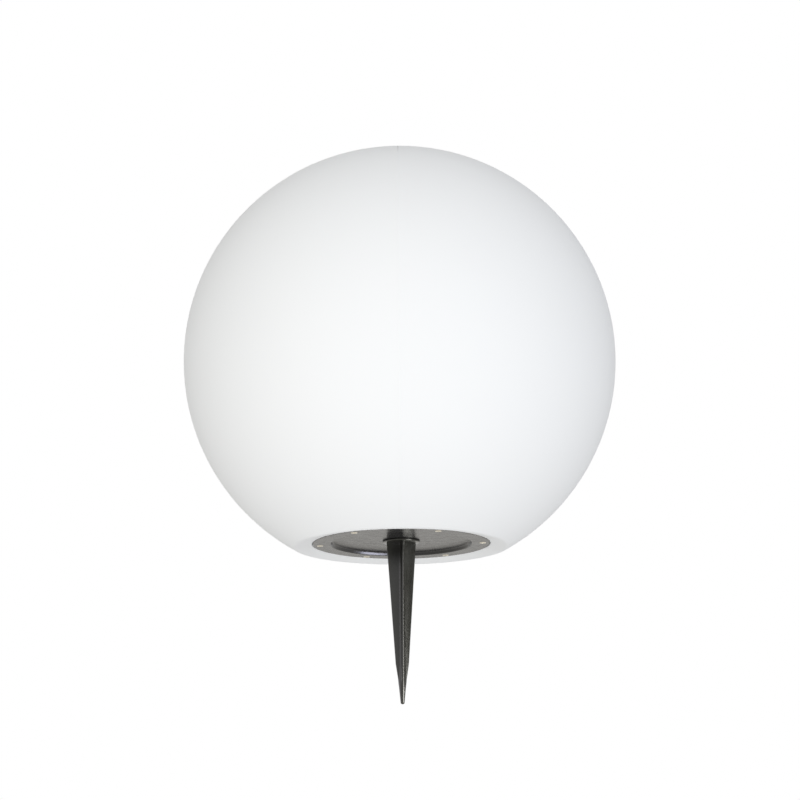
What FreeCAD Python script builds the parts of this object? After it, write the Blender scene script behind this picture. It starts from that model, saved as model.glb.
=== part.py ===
import FreeCAD, Part
import math
import os
from types import SimpleNamespace

import Sketcher

# A garden globe light: a white blow-moulded ball, closed by a black base plate that carries the
# lampholder and plugs onto a ground spike.  Millimetres and degrees, +Z up.  The origin is on the
# lamp's axis at ground level, in the plane of the ball's rim.

SIZES = [
    # the ball
    ("globe_radius", 250, "outside radius of the ball"),
    ("globe_wall", 3.5, "wall of the ball"),
    ("rim_land", 20, "width of the rim, from the opening to where it would meet the ball"),
    ("rim_round", 8, "rounding between the ball and its rim"),
    ("ledge_reach", 7, "how far the ledge reaches in past the screws"),
    ("ledge_thickness", 4, "thickness of the ledge"),
    # the base plate
    ("plate_radius", 101, "radius of the plate"),
    ("plate_gap", 0.6, "gap between the plate's edge and the ball"),
    ("plate_setback", 3.9, "how far the ball's rim slopes up to the plate's edge"),
    ("flange_thickness", 3.5, "thickness of the plate's rim"),
    ("dish_gap", 2.5, "gap between the dish's wall and the ledge around it"),
    ("dish_depth", 3.8, "depth of the dish"),
    ("dish_draft", 2, "how much narrower the dish is at its floor"),
    ("floor_thickness", 3, "thickness of the dish's floor and wall"),
    ("rib_count", 6, "stiffening ribs on the plate's inner side"),
    ("rib_height", 8, "height of a rib"),
    ("rib_thickness", 2, "thickness of a rib"),
    ("gasket_thickness", 2, "thickness of the gasket"),
    ("gasket_margin", 0.5, "how far the gasket stays inside its faces"),
    # the ground spike
    ("fin_length", 132.2, "from the rim's plane down to where the fins turn in"),
    ("shoulder_length", 17.9, "from there down to the solid nose"),
    ("nose_length", 27, "length of the solid nose"),
    ("spike_width", 33.6, "width across the fins under the collar"),
    ("shoulder_width", 15.1, "width where the fins turn in"),
    ("nose_width", 9.6, "width where the nose begins"),
    ("nose_end_radius", 2.3, "radius of the nose at its end"),
    ("core_radius", 3.4, "radius of the core between the fins"),
    ("fin_thickness", 2.6, "thickness of a fin"),
    ("fin_turn", 8, "how far the spike is turned from the front"),
    ("collar_radius", 21.2, "radius of the collar under the plate"),
    ("collar_thickness", 2.2, "thickness of the collar"),
    ("spigot_radius", 12, "radius of the spigot that plugs into the plate"),
    ("spigot_length", 22, "length of the spigot above the collar"),
    ("spigot_wall", 3.5, "wall of the hollow spigot"),
    ("spigot_fit", 0.1, "radial clearance of the spigot in its socket"),
    ("spigot_lead", 1.2, "lead-in chamfer at the spigot's end"),
    ("socket_headroom", 1, "space left above the spigot"),
    ("socket_wall", 4.9, "wall of the socket"),
    # the plate screws and their inserts
    ("screw_count", 6, "screws that hold the plate in the ball"),
    ("screw_inset", 8, "distance of the screws from the plate's edge"),
    ("screw_turn", -3.9, "how far the first screw is turned from +X"),
    ("screw_radius", 2, "radius of the screw's thread"),
    ("screw_short", 1, "how far a screw ends inside its insert"),
    ("screw_head_radius", 4, "radius of the screw's pan head"),
    ("screw_head_height", 2.8, "height of the head"),
    ("screw_sink", 2, "depth of the well in the plate that a head sits in"),
    ("screw_hole_margin", 0.25, "radial clearance of a screw in the plate"),
    ("recess_slot", 0.9, "width of the slots of its cross recess"),
    ("thread_fit", 0.05, "radial clearance that stands for a thread"),
    ("insert_radius", 3, "radius of the brass inserts"),
    ("insert_length", 9, "length of the inserts"),
    ("insert_setback", 0.5, "how far an insert sits inside its boss"),
    ("insert_boss_wall", 2.5, "wall around and above an insert"),
    # the cable gland
    ("gland_reach", 52, "distance of the gland from the lamp's axis"),
    ("cable_radius", 3.5, "radius of the cable that the seal takes"),
    ("cable_room", 0.9, "radial room for the cable in the gland"),
    ("gland_wall", 1.6, "wall of the gland's threaded stem"),
    ("gland_hole_margin", 0.3, "radial clearance of the gland in the plate"),
    ("gland_shoulder", 1.5, "how far the gland's flats stand outside its thread"),
    ("gland_flange", 4, "height of the gland's hexagon"),
    ("gland_washer_thickness", 1.5, "thickness of the washer under it"),
    ("gland_nut_height", 4, "height of the lock nut"),
    ("gland_skirt", 8, "length of the stem that the cap screws onto"),
    ("gland_cap_roof", 3, "how far the cap reaches past the stem"),
    ("gland_cap_gap", 0.6, "gap between the cap and the hexagon"),
    ("gland_end_thread", 1.5, "thread left free past the lock nut"),
    ("seal_length", 6, "length of the seal"),
    # the lampholder's bracket
    ("service_turn", 30, "direction of the terminals; the bracket lies across it"),
    ("bracket_width", 20, "width of the bracket"),
    ("bracket_sheet", 1.5, "sheet thickness of the bracket"),
    ("leg_gap", 7.5, "space between the socket and the bracket's legs"),
    ("foot_inset", 8, "distance of a foot's screw from its leg"),
    ("bracket_toe", 7, "how far a foot reaches past its screw"),
    ("bracket_headroom", 3, "space between the socket and the bracket"),
    ("bracket_bend", 1, "inner radius of the bends"),
    ("pillar_radius", 5, "radius of the pillars under the feet"),
    ("pillar_height", 12, "height of the pillars"),
    ("small_screw_radius", 1.5, "radius of the small screws"),
    ("small_head_radius", 2.9, "radius of their heads"),
    ("small_head_height", 2, "height of their heads"),
    ("bracket_screw_reach", 11, "length of the bracket's screws"),
    # the lampholder
    ("sleeve_bore", 13.4, "radius of the threaded sleeve's bore"),
    ("sleeve_sheet", 0.5, "sheet thickness of the sleeve"),
    ("sleeve_length", 20, "length of the sleeve"),
    ("sleeve_gap", 0.1, "gap around the sleeve"),
    ("mouth_wall", 3.5, "wall of the holder around the sleeve"),
    ("mouth_step", 1.5, "how much wider the holder is at its waist"),
    ("mouth_height", 27, "height of the holder above the carrier"),
    ("carrier_thickness", 3.5, "thickness of the contact carrier"),
    ("holder_wall", 2, "wall of the holder's cup"),
    ("holder_floor", 2.5, "floor of the cup"),
    ("holder_cup_height", 15, "height of the cup"),
    ("holder_screw_inset", 4.5, "distance of the cup's fixing screws from its wall"),
    ("holder_screw_reach", 6, "length of the fixing screws"),
    ("contact_width", 6, "width of the centre contact"),
    ("contact_sheet", 0.6, "thickness of the centre contact"),
    ("contact_rise", 4.5, "height of the centre contact"),
    ("contact_foot", 7.8, "distance of the end of its foot from the axis"),
    ("contact_knee", 1.8, "distance of its lower bend from the axis"),
    ("contact_tongue", 6, "distance of its free end from the axis"),
    ("bulb_gap", 0.3, "gap between the contact and the bulb"),
    # terminals and wires
    ("wire_radius", 1.3, "radius of an insulated wire"),
    ("wire_fit", 0.2, "radial clearance of a wire in a terminal"),
    ("wire_room", 0.6, "radial clearance of a wire in the cup's wall"),
    ("wire_run", 11.2, "how far the wires run level out of the block"),
    ("wire_lean", 3, "how far they lean towards the holder as they rise"),
    ("terminal_length", 8, "length of a holder terminal"),
    ("terminal_width", 6, "width and height of a holder terminal"),
    ("terminal_gap", 0.5, "gap between a terminal and the cup's wall"),
    ("block_reach", 50, "distance of the terminal block from the axis"),
    ("block_width", 17, "width of the terminal block, along the wires"),
    ("block_height", 12, "height of the terminal block"),
    ("block_foot", 4, "height of the boss under the block"),
    ("tube_wall", 1.3, "wall of the block's brass tubes"),
    ("tube_inset", 0.5, "how far a tube ends inside the block"),
    ("tube_spacing_wall", 0.45, "plastic between a tube and the block's fixing screw"),
    ("block_end_wall", 4.2, "plastic outside the tubes"),
    ("block_screw_place", 4.5, "distance of the clamping screws from the block's middle"),
    ("block_sink", 3, "depth of the well for the head of the block's fixing screw"),
    # the bulb
    ("bulb_radius", 30, "radius of the bulb's dome"),
    ("bulb_wall", 1.5, "wall of the dome and of the housing"),
    ("dome_drop", 10, "from the dome's centre down to its joint"),
    ("housing_height", 41.5, "height of the bulb's housing"),
    ("cap_fit", 0.3, "radial clearance of the bulb's cap in the sleeve"),
    ("cap_sheet", 0.4, "sheet thickness of the cap"),
    ("cap_length", 26.5, "length of the cap with its contact"),
    ("cap_contact_radius", 4.8, "radius of the bulb's centre contact"),
    ("cap_contact_height", 1.1, "height of the bulb's centre contact"),
    ("cap_insulator_height", 4.2, "height of the cap's insulator"),
    ("board_thickness", 1.5, "thickness of the two circuit boards"),
    ("board_gap", 0.3, "gap between a board and the housing"),
    ("chip_count", 12, "light-emitting chips"),
    ("chip_circle", 16, "radius of the chips' circle"),
    ("chip_side", 3.5, "side of a chip"),
    ("chip_height", 0.8, "height of a chip"),
]

Vector = FreeCAD.Vector
UP = Vector(0, 0, 1)
ALONG_X = Vector(0, 1, 0)  # turning an upright rod about this by 90 degrees lays it along +X
FULL_TURN = 360
NOSE_ROUNDING = 0.9  # share of the nose's end that is rounded
HEAD_ROUNDING = 0.6  # share of a screw head's height that is rounded
POINT_SHARE = 0.5  # share of a screw's radius that its point takes off
RECESS_WIDTH_SHARE = 0.575  # width of a screw's cross recess, as a share of its head
RECESS_DEPTH_SHARE = 0.55  # depth of the recess, as a share of the head's height
TUBE_LEVEL = 0.45  # height of the tubes' axis in the terminal block, as a share of its height
DOME_SHARE = 0.8  # radius of the gland cap's rounding, as a share of its flats
DOME_DROP_SHARE = 0.12  # how far that rounding's centre lies below the cap's top
WAIST_SHARE = 0.25  # height of the holder's waist, as a share of its mouth
FLARE_LOW_SHARE = 0.1  # where the bulb's housing starts to widen, as a share of its height
FLARE_HIGH_SHARE = 0.8  # where it is at its widest
FLARE_ROUNDING = 0.25  # rounding of its bends, as a share of the bulb's radius
DRIVER_SHARE = 0.9  # width of the driver board, as a share of the housing's neck
RUN_SHARE = 0.45  # share of the shorter run that a wire's bend takes


class Size:
    """A size: its value now, and the expression that ties it to the sheet."""

    def __init__(self, value, text):
        self.value = float(value)
        self.text = text

    def __add__(self, other):
        other = as_size(other)
        return Size(self.value + other.value, f"({self.text} + {other.text})")

    def __sub__(self, other):
        other = as_size(other)
        return Size(self.value - other.value, f"({self.text} - {other.text})")

    def __mul__(self, other):
        other = as_size(other)
        return Size(self.value * other.value, f"({self.text} * {other.text})")

    def __truediv__(self, other):
        other = as_size(other)
        return Size(self.value / other.value, f"({self.text} / {other.text})")

    def __neg__(self):
        return Size(-self.value, f"(0 - {self.text})")


def as_size(number):
    if isinstance(number, Size):
        return number
    return Size(number, repr(float(number)))


def cosine(angle):
    angle = as_size(angle)
    return Size(math.cos(math.radians(angle.value)), f"cos({angle.text})")


def sine(angle):
    angle = as_size(angle)
    return Size(math.sin(math.radians(angle.value)), f"sin({angle.text})")


def root(area):
    return Size(math.sqrt(area.value), f"sqrt({area.text})")


def hypotenuse_side(long_side, other_side):
    """The third side of a right triangle."""
    return root(long_side * long_side - other_side * other_side)


doc = FreeCAD.newDocument("GardenGlobeLight")


def write_sheet():
    """Put the driving sizes in the document's sheet, and return them by name."""
    sheet = doc.addObject("Spreadsheet::Sheet", "Sizes")
    for row, (alias, value, note) in enumerate(SIZES, start=1):
        sheet.set(f"A{row}", alias)
        sheet.set(f"B{row}", str(value))
        sheet.set(f"C{row}", note)
        sheet.setAlias(f"B{row}", alias)
    doc.recompute()
    return SimpleNamespace(**{alias: Size(value, "Sizes." + alias) for alias, value, note in SIZES})


s = write_sheet()
ZERO = as_size(0)

# ---------------------------------------------------------------- places worked out from the sizes

opening_radius = s.plate_radius + s.plate_gap
globe_centre = hypotenuse_side(s.globe_radius, opening_radius + s.rim_land)
screw_circle = s.plate_radius - s.screw_inset
screw_x = screw_circle * cosine(s.screw_turn)
screw_y = screw_circle * sine(s.screw_turn)
ledge_inner = screw_circle - s.ledge_reach
flange_top = s.plate_setback + s.flange_thickness
ledge_under = flange_top + s.gasket_thickness
ledge_top = ledge_under + s.ledge_thickness
insert_under = ledge_under + s.insert_setback
screw_seat = s.plate_setback + s.screw_sink
screw_reach = insert_under + s.insert_length - s.screw_short - screw_seat
floor_under = s.plate_setback + s.dish_depth
floor_top = floor_under + s.floor_thickness
dish_radius = ledge_inner - s.dish_gap - s.floor_thickness
dish_floor_radius = dish_radius - s.dish_draft
socket_bore = s.spigot_radius + s.spigot_fit
socket_radius = socket_bore + s.socket_wall
socket_ceiling = floor_under + s.spigot_length + s.socket_headroom
socket_top = socket_ceiling + s.floor_thickness

collar_under = floor_under - s.collar_thickness
spigot_top = floor_under + s.spigot_length
nose_depth = s.fin_length + s.shoulder_length
spike_depth = nose_depth + s.nose_length

gland_bore = s.cable_radius + s.cable_room
gland_thread = gland_bore + s.gland_wall
gland_flats = (gland_thread + s.gland_shoulder) * 2

pillar_top = floor_top + s.pillar_height
bracket_turn = s.service_turn + 90
bracket_leg = socket_radius + s.leg_gap
bracket_reach = bracket_leg + s.bracket_sheet + s.foot_inset
bracket_under = socket_top + s.bracket_headroom
bracket_top = bracket_under + s.bracket_sheet

mouth_bore = s.sleeve_bore + s.sleeve_sheet + s.sleeve_gap
mouth_radius = mouth_bore + s.mouth_wall
holder_radius = mouth_radius + s.mouth_step
cup_bore = holder_radius - s.holder_wall
cup_floor = bracket_top + s.holder_floor
holder_screw_place = cup_bore - s.holder_screw_inset
carrier_under = bracket_top + s.holder_cup_height
carrier_top = carrier_under + s.carrier_thickness
holder_mouth = carrier_top + s.mouth_height

wire_bore = s.wire_radius + s.wire_fit
tube_radius = wire_bore + s.tube_wall
pole = s.small_screw_radius + s.screw_hole_margin + s.tube_spacing_wall + tube_radius
terminal_middle = carrier_under - s.terminal_width / 2
terminal_end = hypotenuse_side(cup_bore, pole + s.terminal_width / 2) - s.terminal_gap
terminal_place = terminal_end - s.terminal_length / 2
block_under = floor_top + s.block_foot
block_middle = block_under + s.block_height * TUBE_LEVEL
block_length = (pole + tube_radius + s.block_end_wall) * 2

bulb_under = carrier_top + s.contact_rise + s.bulb_gap
housing_under = bulb_under + s.cap_length
dome_joint = housing_under + s.housing_height
dome_centre = dome_joint + s.dome_drop
housing_radius = hypotenuse_side(s.bulb_radius, s.dome_drop)
cap_radius = s.sleeve_bore - s.cap_fit
housing_neck = cap_radius + s.cap_sheet

nodes = []
volumes = {}


# ---------------------------------------------------------------- helpers


def bind(thing, name, size):
    """Tie one property of an object to the sheet."""
    size = as_size(size)
    setattr(thing, name, size.value)
    thing.setExpression(name, size.text)


def place(thing, x=ZERO, y=ZERO, z=ZERO, turn=ZERO, axis=UP):
    """Put an object at x, y, z, turned about an axis, and tie that to the sheet."""
    x, y, z, turn = as_size(x), as_size(y), as_size(z), as_size(turn)
    rotation = FreeCAD.Rotation(axis, turn.value)
    thing.Placement = FreeCAD.Placement(Vector(x.value, y.value, z.value), rotation)
    for path, size in (("Base.x", x), ("Base.y", y), ("Base.z", z), ("Rotation.Angle", turn)):
        if size.text != ZERO.text:
            thing.setExpression("Placement." + path, size.text)


def node(thing):
    """List an object as a piece of the lamp, under its own label."""
    nodes.append(thing)
    return thing


def new_body(name):
    return doc.addObject("PartDesign::Body", name)


def origin_part(body, role):
    return next(part for part in body.Origin.OriginFeatures if part.Role == role)


def sketch_on(body, name, role, height=None):
    """A sketch on one of the body's own origin planes, or parallel to it at a height."""
    sketch = body.newObject("Sketcher::SketchObject", name)
    sketch.AttachmentSupport = [(origin_part(body, role), "")]
    sketch.MapMode = "FlatFace"
    if height is not None:
        offset = Vector(0, 0, height.value)
        sketch.AttachmentOffset = FreeCAD.Placement(offset, FreeCAD.Rotation())
        sketch.setExpression("AttachmentOffset.Base.z", height.text)
    return sketch


def constrain(sketch, kind, element, *rest):
    """Add a dimension to a sketch; the last argument is its size."""
    size = rest[-1]
    index = sketch.addConstraint(Sketcher.Constraint(kind, element, *rest[:-1], size.value))
    sketch.setExpression(f"Constraints[{index}]", size.text)


def pin(sketch, element, end, x, y):
    """Hold one point of a sketch at x, y; a coordinate of None is left to the other curves."""
    for kind, axis, size in (("DistanceX", -2, x), ("DistanceY", -1, y)):
        if size is None:
            continue
        if size.text == ZERO.text:
            sketch.addConstraint(Sketcher.Constraint("PointOnObject", element, end, axis))
        else:
            constrain(sketch, kind, -1, 1, element, end, size)


def outline(sketch, corners):
    """A closed outline of straight lines through corners given as (x, y)."""
    first = sketch.GeometryCount
    count = len(corners)
    points = [Vector(as_size(x).value, as_size(y).value, 0) for x, y in corners]
    for i in range(count):
        sketch.addGeometry(Part.LineSegment(points[i], points[(i + 1) % count]), False)
    for i in range(count):
        following = first + (i + 1) % count
        sketch.addConstraint(Sketcher.Constraint("Coincident", first + i, 2, following, 1))
    for i, (x, y) in enumerate(corners):
        pin(sketch, first + i, 1, as_size(x), as_size(y))


def circle(sketch, x, y, radius):
    x, y = as_size(x), as_size(y)
    curve = Part.Circle(Vector(x.value, y.value, 0), UP, radius.value)
    index = sketch.addGeometry(curve, False)
    pin(sketch, index, 3, x, y)
    constrain(sketch, "Radius", index, radius)


def feature(body, kind, name, sketch):
    made = body.newObject("PartDesign::" + kind, name)
    made.Profile = (sketch, [""])
    return made


def finish_feature(body, made, grows):
    """Recompute, and make sure that the feature added or removed material."""
    before = volumes.get(body.Name, 0)
    body.Tip = made
    doc.recompute()
    volumes[body.Name] = made.Shape.Volume
    change = made.Shape.Volume - before
    if change == 0 or (change > 0) != grows:
        raise RuntimeError(f"{made.Label} changed the volume by {change:.3f}")
    return made


def revolve(body, sketch):
    made = feature(body, "Revolution", sketch.Label + "_turned", sketch)
    made.ReferenceAxis = (sketch, ["V_Axis"])
    made.Angle = FULL_TURN
    return finish_feature(body, made, True)


def pad(body, sketch, length, both_ways=False):
    made = feature(body, "Pad", sketch.Label + "_pad", sketch)
    made.Midplane = both_ways
    bind(made, "Length", length)
    return finish_feature(body, made, True)


def pocket(body, sketch, length, upwards=True, both_ways=False):
    made = feature(body, "Pocket", sketch.Label + "_cut", sketch)
    made.Reversed = upwards
    made.Midplane = both_ways
    bind(made, "Length", length)
    return finish_feature(body, made, False)


def around(body, original, count, grows):
    """Repeat a feature around the body's axis."""
    made = body.newObject("PartDesign::PolarPattern", original.Label + "_ring")
    made.Originals = [original]
    made.Axis = (origin_part(body, "Z_Axis"), [""])
    made.Angle = FULL_TURN
    count = as_size(count)
    made.Occurrences = int(count.value)
    made.setExpression("Occurrences", count.text)
    return finish_feature(body, made, grows)


def rim_edges(shape, radius, height):
    """Names of the circular edges about the Z axis with this radius at this height."""
    names = []
    for number, edge in enumerate(shape.Edges, start=1):
        if edge.Degenerated or not isinstance(edge.Curve, Part.Circle):
            continue
        centre = edge.Curve.Center
        on_axis = math.hypot(centre.x, centre.y) < 0.01
        if on_axis and abs(edge.Curve.Radius - radius.value) < 0.01 and abs(centre.z - height.value) < 0.01:
            names.append(f"Edge{number}")
    return names


def bend_edges(shape, x, z, width):
    """Names of the straight edges across a bent strip of this width, at plus and minus x."""
    names = []
    for number, edge in enumerate(shape.Edges, start=1):
        middle = edge.BoundBox.Center
        across = edge.BoundBox.YLength > width.value / 2
        if across and abs(abs(middle.x) - x.value) < 0.01 and abs(middle.z - z.value) < 0.01:
            names.append(f"Edge{number}")
    return names


def round_edges(body, name, names, rounding):
    """Round the named edges of the body's last feature."""
    base = body.Tip
    made = body.newObject("PartDesign::Fillet", name)
    made.Base = (base, names)
    bind(made, "Radius", rounding)
    body.Tip = made
    doc.recompute()
    volumes[body.Name] = made.Shape.Volume


def round_rim(body, name, radius, height, rounding):
    """Round the circular edge of a turned piece at this radius and height."""
    round_edges(body, name, rim_edges(body.Tip.Shape, as_size(radius), as_size(height)), rounding)


def solid(kind, name, x=ZERO, y=ZERO, z=ZERO, turn=ZERO, axis=UP, **sizes):
    """One of Part's primitives, with its sizes and its place tied to the sheet."""
    made = doc.addObject("Part::" + kind, name)
    for prop, size in sizes.items():
        bind(made, prop, size)
    place(made, x, y, z, turn, axis)
    return made


def rod(name, radius, under, top, x=ZERO, y=ZERO):
    """An upright cylinder."""
    return solid("Cylinder", name, x=x, y=y, z=under, Radius=radius, Height=top - under)


def lying_rod(name, radius, start, end, y, z):
    """A cylinder along X."""
    return solid("Cylinder", name, x=start, y=y, z=z, turn=90, axis=ALONG_X,
                 Radius=radius, Height=end - start)


def hexagon(name, flats, under, top, x=ZERO, y=ZERO):
    """An upright hexagonal prism, sized across its flats."""
    made = solid("Prism", name, x=x, y=y, z=under,
                 Circumradius=flats / 2 / cosine(30), Height=top - under)
    made.Polygon = 6
    return made


def block(name, length, width, under, top, x=ZERO, y=ZERO):
    """A box centred on x, y."""
    return solid("Box", name, x=x - length / 2, y=y - width / 2, z=under,
                 Length=length, Width=width, Height=top - under)


def fuse(name, pieces):
    made = doc.addObject("Part::MultiFuse", name)
    made.Shapes = pieces
    return made


def cut(name, base, tools):
    made = doc.addObject("Part::Cut", name)
    made.Base = base
    made.Tool = tools[0] if len(tools) == 1 else fuse(name + "_tools", tools)
    return made


def ring(name, radius, bore, under, top, x=ZERO, y=ZERO):
    """A plain ring or tube."""
    outer = rod(name + "_outer", radius, under, top, x, y)
    inner = rod(name + "_bore", bore, under, top, x, y)
    return cut(name, outer, [inner])


def group(name, master, places):
    """Copies of one piece at several places, kept together as one node."""
    copies = []
    for number, (x, y, z) in enumerate(places, start=1):
        copy = doc.addObject("App::Link", f"{name}_{number}")
        copy.setLink(master)
        place(copy, x, y, z)
        copies.append(copy)
    made = doc.addObject("Part::Compound", name)
    made.Links = copies
    return made


def on_service_side(name, pieces):
    """Pieces kept together as one node, turned to the side where the terminals are."""
    made = doc.addObject("Part::Compound", name)
    made.Links = pieces
    place(made, turn=s.service_turn)
    return made


def round_the_axis(reach, count, turn, height):
    """Places on a circle about the lamp's axis."""
    step = FULL_TURN / int(count.value)
    angles = [turn + step * i for i in range(int(count.value))]
    return [(reach * cosine(angle), reach * sine(angle), height) for angle in angles]


# ---------------------------------------------------------------- ground spike


def make_ground_spike():
    """Cross-finned spike with a solid nose, a collar and the spigot that the lamp plugs onto."""
    body = new_body("ground_spike")
    middle = sketch_on(body, "spike_core", "XZ_Plane")
    spigot_bore = s.spigot_radius - s.spigot_wall
    outline(middle, [
        (ZERO, -spike_depth),
        (s.nose_end_radius, -spike_depth),
        (s.nose_width / 2, -nose_depth),
        (s.core_radius, -nose_depth + s.nose_width / 2),
        (s.core_radius, collar_under),
        (s.collar_radius, collar_under),
        (s.collar_radius, floor_under),
        (s.spigot_radius, floor_under),
        (s.spigot_radius, spigot_top - s.spigot_lead),
        (s.spigot_radius - s.spigot_lead, spigot_top),
        (spigot_bore, spigot_top),
        (spigot_bore, floor_under),
        (ZERO, floor_under),
    ])
    revolve(body, middle)
    round_rim(body, "nose_end", s.nose_end_radius, -spike_depth, s.nose_end_radius * NOSE_ROUNDING)
    fin_root = collar_under + s.collar_thickness / 2
    for role in ("XZ_Plane", "YZ_Plane"):
        fin = sketch_on(body, "fin_" + role[:2].lower(), role)
        outline(fin, [
            (ZERO, -nose_depth - s.nose_width),
            (s.nose_width / 2, -nose_depth),
            (s.shoulder_width / 2, -s.fin_length),
            (s.spike_width / 2, collar_under),
            (s.spike_width / 2, fin_root),
            (-s.spike_width / 2, fin_root),
            (-s.spike_width / 2, collar_under),
            (-s.shoulder_width / 2, -s.fin_length),
            (-s.nose_width / 2, -nose_depth),
        ])
        pad(body, fin, s.fin_thickness, both_ways=True)
    place(body, turn=s.fin_turn)
    node(body)


# ---------------------------------------------------------------- base plate and gasket


def make_base_plate():
    """Dished plate with a blind socket for the spike, ribs, pillars and bosses."""
    body = new_body("base_plate")
    section = sketch_on(body, "plate_section", "XZ_Plane")
    outline(section, [
        (socket_bore, floor_under),
        (dish_floor_radius, floor_under),
        (dish_radius, s.plate_setback),
        (s.plate_radius, s.plate_setback),
        (s.plate_radius, flange_top),
        (dish_radius + s.floor_thickness, flange_top),
        (dish_floor_radius + s.floor_thickness, floor_top),
        (socket_radius, floor_top),
        (socket_radius, socket_top),
        (ZERO, socket_top),
        (ZERO, socket_ceiling),
        (socket_bore, socket_ceiling),
    ])
    revolve(body, section)
    round_rim(body, "dish_corner", dish_floor_radius, floor_under, s.dish_draft)
    round_rim(body, "dish_lip", dish_radius, s.plate_setback, s.dish_draft / 2)
    round_rim(body, "plate_edge", s.plate_radius, s.plate_setback, s.flange_thickness / 4)
    round_rim(body, "socket_edge", socket_radius, socket_top, s.floor_thickness / 2)
    add_plate_ribs(body)
    add_plate_bosses(body)
    cut_plate_holes(body)
    node(body)


def add_plate_ribs(body):
    """Ribs from the socket out to the dish wall, falling away at their outer ends."""
    rib = sketch_on(body, "rib", "XZ_Plane")
    inner = socket_bore + s.socket_wall / 2
    buried = floor_top - s.floor_thickness / 2
    outline(rib, [
        (inner, buried),
        (dish_floor_radius, buried),
        (dish_floor_radius, floor_top + s.rib_thickness),
        (dish_floor_radius - s.rib_height * 2, floor_top + s.rib_height),
        (inner, floor_top + s.rib_height),
    ])
    first_rib = pad(body, rib, s.rib_thickness, both_ways=True)
    around(body, first_rib, s.rib_count, True)


def add_plate_bosses(body):
    """Two pillars for the bracket and a boss for the terminal block, each with its pilot hole."""
    buried = floor_top - s.floor_thickness / 2
    pilot = s.small_screw_radius + s.thread_fit
    pillar_x = bracket_reach * cosine(bracket_turn)
    pillar_y = bracket_reach * sine(bracket_turn)
    pillar = sketch_on(body, "pillar", "XY_Plane", buried)
    circle(pillar, pillar_x, pillar_y, s.pillar_radius)
    around(body, pad(body, pillar, pillar_top - buried), 2, True)
    hole = sketch_on(body, "pillar_pilot", "XY_Plane", pillar_top)
    circle(hole, pillar_x, pillar_y, pilot)
    around(body, pocket(body, hole, s.bracket_screw_reach, upwards=False), 2, False)
    block_x = s.block_reach * cosine(s.service_turn)
    block_y = s.block_reach * sine(s.service_turn)
    boss = sketch_on(body, "block_boss", "XY_Plane", buried)
    circle(boss, block_x, block_y, s.pillar_radius)
    pad(body, boss, block_under - buried)
    hole = sketch_on(body, "block_pilot", "XY_Plane", block_under)
    circle(hole, block_x, block_y, pilot)
    pocket(body, hole, s.block_foot + s.floor_thickness / 2, upwards=False)


def cut_plate_holes(body):
    """Six screw holes through the rim with wells for the heads, and the gland's hole at the back."""
    hole = sketch_on(body, "screw_hole", "XY_Plane", s.plate_setback)
    circle(hole, screw_x, screw_y, s.screw_radius + s.screw_hole_margin)
    around(body, pocket(body, hole, s.flange_thickness), s.screw_count, False)
    well = sketch_on(body, "screw_well", "XY_Plane", s.plate_setback)
    circle(well, screw_x, screw_y, s.screw_head_radius + s.screw_hole_margin)
    around(body, pocket(body, well, s.screw_sink), s.screw_count, False)
    entry = sketch_on(body, "gland_hole", "XY_Plane", floor_under)
    circle(entry, ZERO, s.gland_reach, gland_thread + s.gland_hole_margin)
    pocket(body, entry, s.floor_thickness)


def make_base_gasket():
    """Flat rubber ring between the plate's rim and the ball's ledge."""
    body = new_body("base_gasket")
    flat = sketch_on(body, "gasket_flat", "XY_Plane", flange_top)
    circle(flat, ZERO, ZERO, s.plate_radius - s.gasket_margin)
    circle(flat, ZERO, ZERO, ledge_inner + s.gasket_margin)
    pad(body, flat, s.gasket_thickness)
    hole = sketch_on(body, "gasket_hole", "XY_Plane", flange_top)
    circle(hole, screw_x, screw_y, s.screw_radius + s.screw_hole_margin * 2)
    around(body, pocket(body, hole, s.gasket_thickness), s.screw_count, False)
    node(body)


# ---------------------------------------------------------------- ball


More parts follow.
